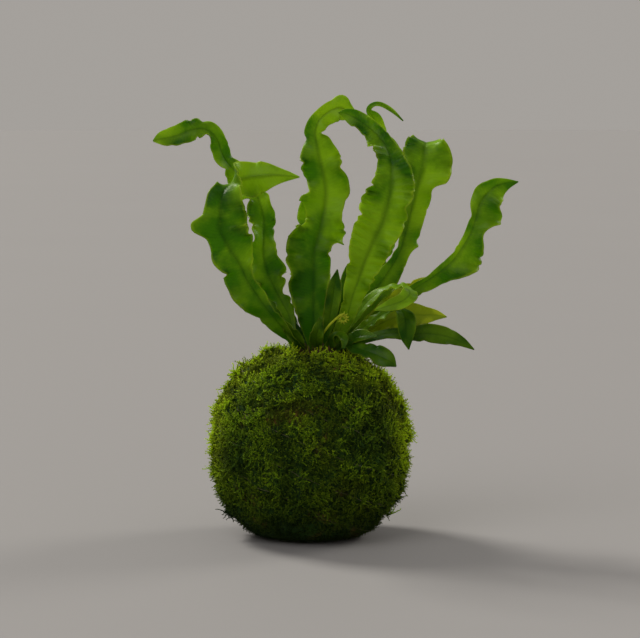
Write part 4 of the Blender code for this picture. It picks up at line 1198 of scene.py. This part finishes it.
def makeThreadTree():
    # a two-ply thread laid on the moss, wound down the ball about a tilted axis
    tree, given, result = newTree(
        "binding thread", "GeometryNodeTree",
        [("Geometry", "Geometry"), ("Points", "Int"), ("Radius", "Float"), ("Clear", "Float"),
         ("Turns", "Float"), ("Tilt", "Float"), ("From", "Float"), ("To", "Float"),
         ("Ply Turns", "Float"), ("Centre Height", "Float"), ("Material", "Material")],
        [("Geometry", "Geometry")])
    line = put(tree, "GeometryNodeCurvePrimitiveLine", {"End": (1.0, 0.0, 0.0)})
    fine = put(tree, "GeometryNodeResampleCurve", {"Curve": line.outputs[0], "Count": given["Points"]})
    share = put(tree, "GeometryNodeSplineParameter").outputs["Factor"]
    down = put(tree, "ShaderNodeMapRange", {0: share, 3: given["From"], 4: given["To"]}).outputs[0]
    turn = calc(tree, "MULTIPLY", share, calc(tree, "MULTIPLY", given["Turns"], 2 * math.pi))
    flat = calc(tree, "SINE", down)
    way = put(tree, "ShaderNodeCombineXYZ", {
        "X": calc(tree, "MULTIPLY", flat, calc(tree, "COSINE", turn)),
        "Y": calc(tree, "MULTIPLY", flat, calc(tree, "SINE", turn)),
        "Z": calc(tree, "COSINE", down)}).outputs[0]
    way = put(tree, "ShaderNodeVectorRotate", {
        "Vector": way, "Angle": given["Tilt"]}, rotation_type="Y_AXIS").outputs[0]
    middle = put(tree, "ShaderNodeCombineXYZ", {"Z": given["Centre Height"]}).outputs[0]
    far = vectorCalc(tree, "ADD", middle, vectorCalc(tree, "SCALE", way, 0.1))
    hit = put(tree, "GeometryNodeRaycast", {
        "Target Geometry": given["Geometry"], "Source Position": far,
        "Ray Direction": vectorCalc(tree, "SCALE", way, -1.0), "Ray Length": 0.1})
    clear = vectorCalc(tree, "SCALE", way, given["Clear"])
    onMoss = vectorCalc(tree, "ADD", hit.outputs["Hit Position"], clear)
    wound = put(tree, "GeometryNodeSetPosition", {
        "Geometry": fine.outputs[0], "Position": onMoss}).outputs[0]
    # two strands twisted round each other
    plies = []
    wholeTwist = calc(tree, "MULTIPLY", given["Ply Turns"], 2 * math.pi)
    for start in (0.0, math.pi):
        angle = calc(tree, "MULTIPLY_ADD", share, wholeTwist, start)
        tangent = put(tree, "GeometryNodeInputTangent").outputs[0]
        out = vectorCalc(tree, "NORMALIZE", vectorCalc(tree, "SUBTRACT", put(
            tree, "GeometryNodeInputPosition").outputs[0], middle))
        beside = vectorCalc(tree, "CROSS_PRODUCT", tangent, out)
        rise = vectorCalc(tree, "SCALE", out, calc(tree, "SINE", angle))
        swing = vectorCalc(tree, "SCALE", beside, calc(tree, "COSINE", angle))
        shift = vectorCalc(tree, "ADD", rise, swing)
        half = vectorCalc(tree, "SCALE", shift, calc(tree, "MULTIPLY", given["Radius"], 0.5))
        strand = put(tree, "GeometryNodeSetPosition", {"Geometry": wound, "Offset": half}).outputs[0]
        circle = put(tree, "GeometryNodeCurvePrimitiveCircle", {
            "Resolution": 6, "Radius": calc(tree, "MULTIPLY", given["Radius"], 0.58)}).outputs[0]
        solid = put(tree, "GeometryNodeCurveToMesh", {
            "Curve": strand, "Profile Curve": circle, "Fill Caps": True})
        plies.append(solid.outputs[0])
    joined = tree.nodes.new("GeometryNodeJoinGeometry")
    for ply in plies:
        tree.links.new(ply, joined.inputs[0])
    real = put(tree, "GeometryNodeRealizeInstances", {"Geometry": joined.outputs[0]}).outputs[0]
    dressed = put(tree, "GeometryNodeSetMaterial", {"Geometry": real, "Material": given["Material"]})
    tree.links.new(dressed.outputs[0], result["Geometry"])
    return tree


wound = growOn("twisted_thread", felt.data.copy(), makeThreadTree(), {
    "Points": thread["points"], "Radius": thread["radius"], "Clear": thread["clear"],
    "Turns": thread["turns"], "Tilt": math.radians(thread["tilt"]), "From": math.radians(thread["from"]),
    "To": math.radians(thread["to"]), "Ply Turns": thread["plyTurns"], "Centre Height": thread["centre"],
    "Material": threadMaterial})
wound.data.shade_smooth()
hand(wound, "thread", "binding_thread")
print("thread wound")


# the crown that the fronds grow from

crown = {  # scales per square metre, their size in mm, and where they start
    "scales": 7.0e5, "length": 5.0, "width": 1.5, "from": 96.5 * mm, "centre": 90 * mm,
}


def makeScale(collection):
    # one papery scale along +X: a narrow pointed leaf, cupped, closed and thin
    bm = bmesh.new()
    layer = bm.verts.layers.float.new("reach")
    outline = ((0.0, 0.5), (0.3, 0.9), (0.6, 0.75), (0.85, 0.35), (1.0, 0.03))
    rows = []
    for share, wide in outline:
        half = wide * crown["width"] / 2
        lift = 0.5 * share * share
        row = []
        for x, z in ((-half, 0.25 * wide), (0.0, 0.0), (half, 0.25 * wide), (0.0, 0.22)):
            vert = bm.verts.new(Vector((share * crown["length"], x, z + lift * 1.5)) * mm)
            vert[layer] = share
            row.append(vert)
        rows.append(row)
    for low, high in zip(rows, rows[1:]):
        for a in range(4):
            b = (a + 1) % 4
            bm.faces.new((low[a], low[b], high[b], high[a]))
    bm.faces.new(rows[0][::-1])
    bm.faces.new(rows[-1])
    bmesh.ops.recalc_face_normals(bm, faces=bm.faces)
    mesh = bpy.data.meshes.new("scale")
    bm.to_mesh(mesh)
    bm.free()
    made = bpy.data.objects.new("scale", mesh)
    collection.objects.link(made)


def makeCrown():
    kinds = bpy.data.collections.new("scale kinds")
    makeScale(kinds)
    core = newObject("crown_core", mergedCopy("crown"), scaleMaterial)
    rounder = core.modifiers.new("rounder", "SUBSURF")
    rounder.levels = rounder.render_levels = 2
    settle(core)
    core.data.shade_smooth()
    core.data.materials.clear()
    core.data.materials.append(scaleMaterial)
    hand(core, "crown", "crown")
    bm = bmesh.new()
    bm.from_mesh(core.data)
    low = [face for face in bm.faces if face.calc_center_median().z < crown["from"]]
    bmesh.ops.delete(bm, geom=low, context="FACES")
    top = bpy.data.meshes.new("crown top")
    bm.to_mesh(top)
    bm.free()
    made = growOn("crown_scales", top, shootTree, {
        "Shoots": kinds, "Material": scaleMaterial, "Density": crown["scales"], "Seed": 40,
        "Size": 0.9, "Size Spread": 0.3, "Low Lift": 0.5, "High Lift": 1.8, "Flow Scale": 90.0,
        "Facing": (1.0, 0.0, 0.0), "Facing Limit": -2.0, "Centre Height": crown["centre"]})
    hand(made, "crown")


makeCrown()
print("crown made")


# floor, light and camera

studio = {
    "floor": (0.290, 0.2795, 0.281), "horizon": (0.374, 0.354, 0.331), "overhead": (0.28, 0.27, 0.26),
    "suns": (
        # name, the side that it comes from, strength, softness in degrees, colour
        ("back left", (-0.75, 0.70, 0.95), 2.5, 18.0, (1.0, 0.97, 0.88)),
        ("back right", (0.95, 0.60, 0.55), 1.1, 25.0, (1.0, 0.96, 0.86)),
        ("front", (-0.70, -1.0, 1.3), 0.75, 40.0, (1.0, 0.98, 0.95)),
    ),
    "floorRadius": 30.0,
}


def aimAt(thing, target):
    thing.rotation_euler = (Vector(target) - thing.location).to_track_quat("-Z", "Y").to_euler()


def makeStudio():
    bm = bmesh.new()
    bmesh.ops.create_circle(bm, cap_ends=True, segments=96, radius=studio["floorRadius"])
    mesh = bpy.data.meshes.new("floor")
    bm.to_mesh(mesh)
    bm.free()
    material, tree, shader = newMaterial("floor", 0.7, 0.3)
    cloud = noise(tree, objectPlace(tree), 1.5, 2.0)
    pale = mixColour(tree, cloud, tuple(0.97 * v for v in studio["floor"]), studio["floor"])
    tree.links.new(pale, shader.inputs["Base Color"])
    newObject("floor", mesh, material)
    world = bpy.data.worlds.new("studio")
    world.use_nodes = True
    sky = world.node_tree
    around = put(sky, "ShaderNodeTexCoord").outputs["Generated"]
    up = put(sky, "ShaderNodeSeparateXYZ", {0: around}).outputs["Z"]
    shade = mixColour(sky, ramp(sky, up, 0.05, 0.7), studio["horizon"], studio["overhead"])
    sky.links.new(shade, sky.nodes["Background"].inputs["Color"])
    bpy.context.scene.world = world
    for name, side, strength, softness, colour in studio["suns"]:
        sun = bpy.data.lights.new(name, "SUN")
        sun.energy = strength
        sun.angle = math.radians(softness)
        sun.color = colour
        made = bpy.data.objects.new(name, sun)
        made.location = side
        aimAt(made, (0, 0, 0))
        bpy.context.scene.collection.objects.link(made)


shot = {"elevation": 5.0, "distance": 1.30, "aim": (0.006, 0.0, 0.120), "across": 0.352}


def makeCamera():
    rise = math.radians(shot["elevation"])
    data = bpy.data.cameras.new("camera")
    data.sensor_width = 36.0
    data.lens = data.sensor_width * shot["distance"] / shot["across"]
    camera = bpy.data.objects.new("camera", data)
    back = Vector((0, -math.cos(rise), math.sin(rise)))
    camera.location = Vector(shot["aim"]) + back * shot["distance"]
    aimAt(camera, shot["aim"])
    bpy.context.scene.collection.objects.link(camera)
    bpy.context.scene.camera = camera


makeStudio()
makeCamera()
bpy.context.scene.view_settings.view_transform = "Standard"
print("studio set")
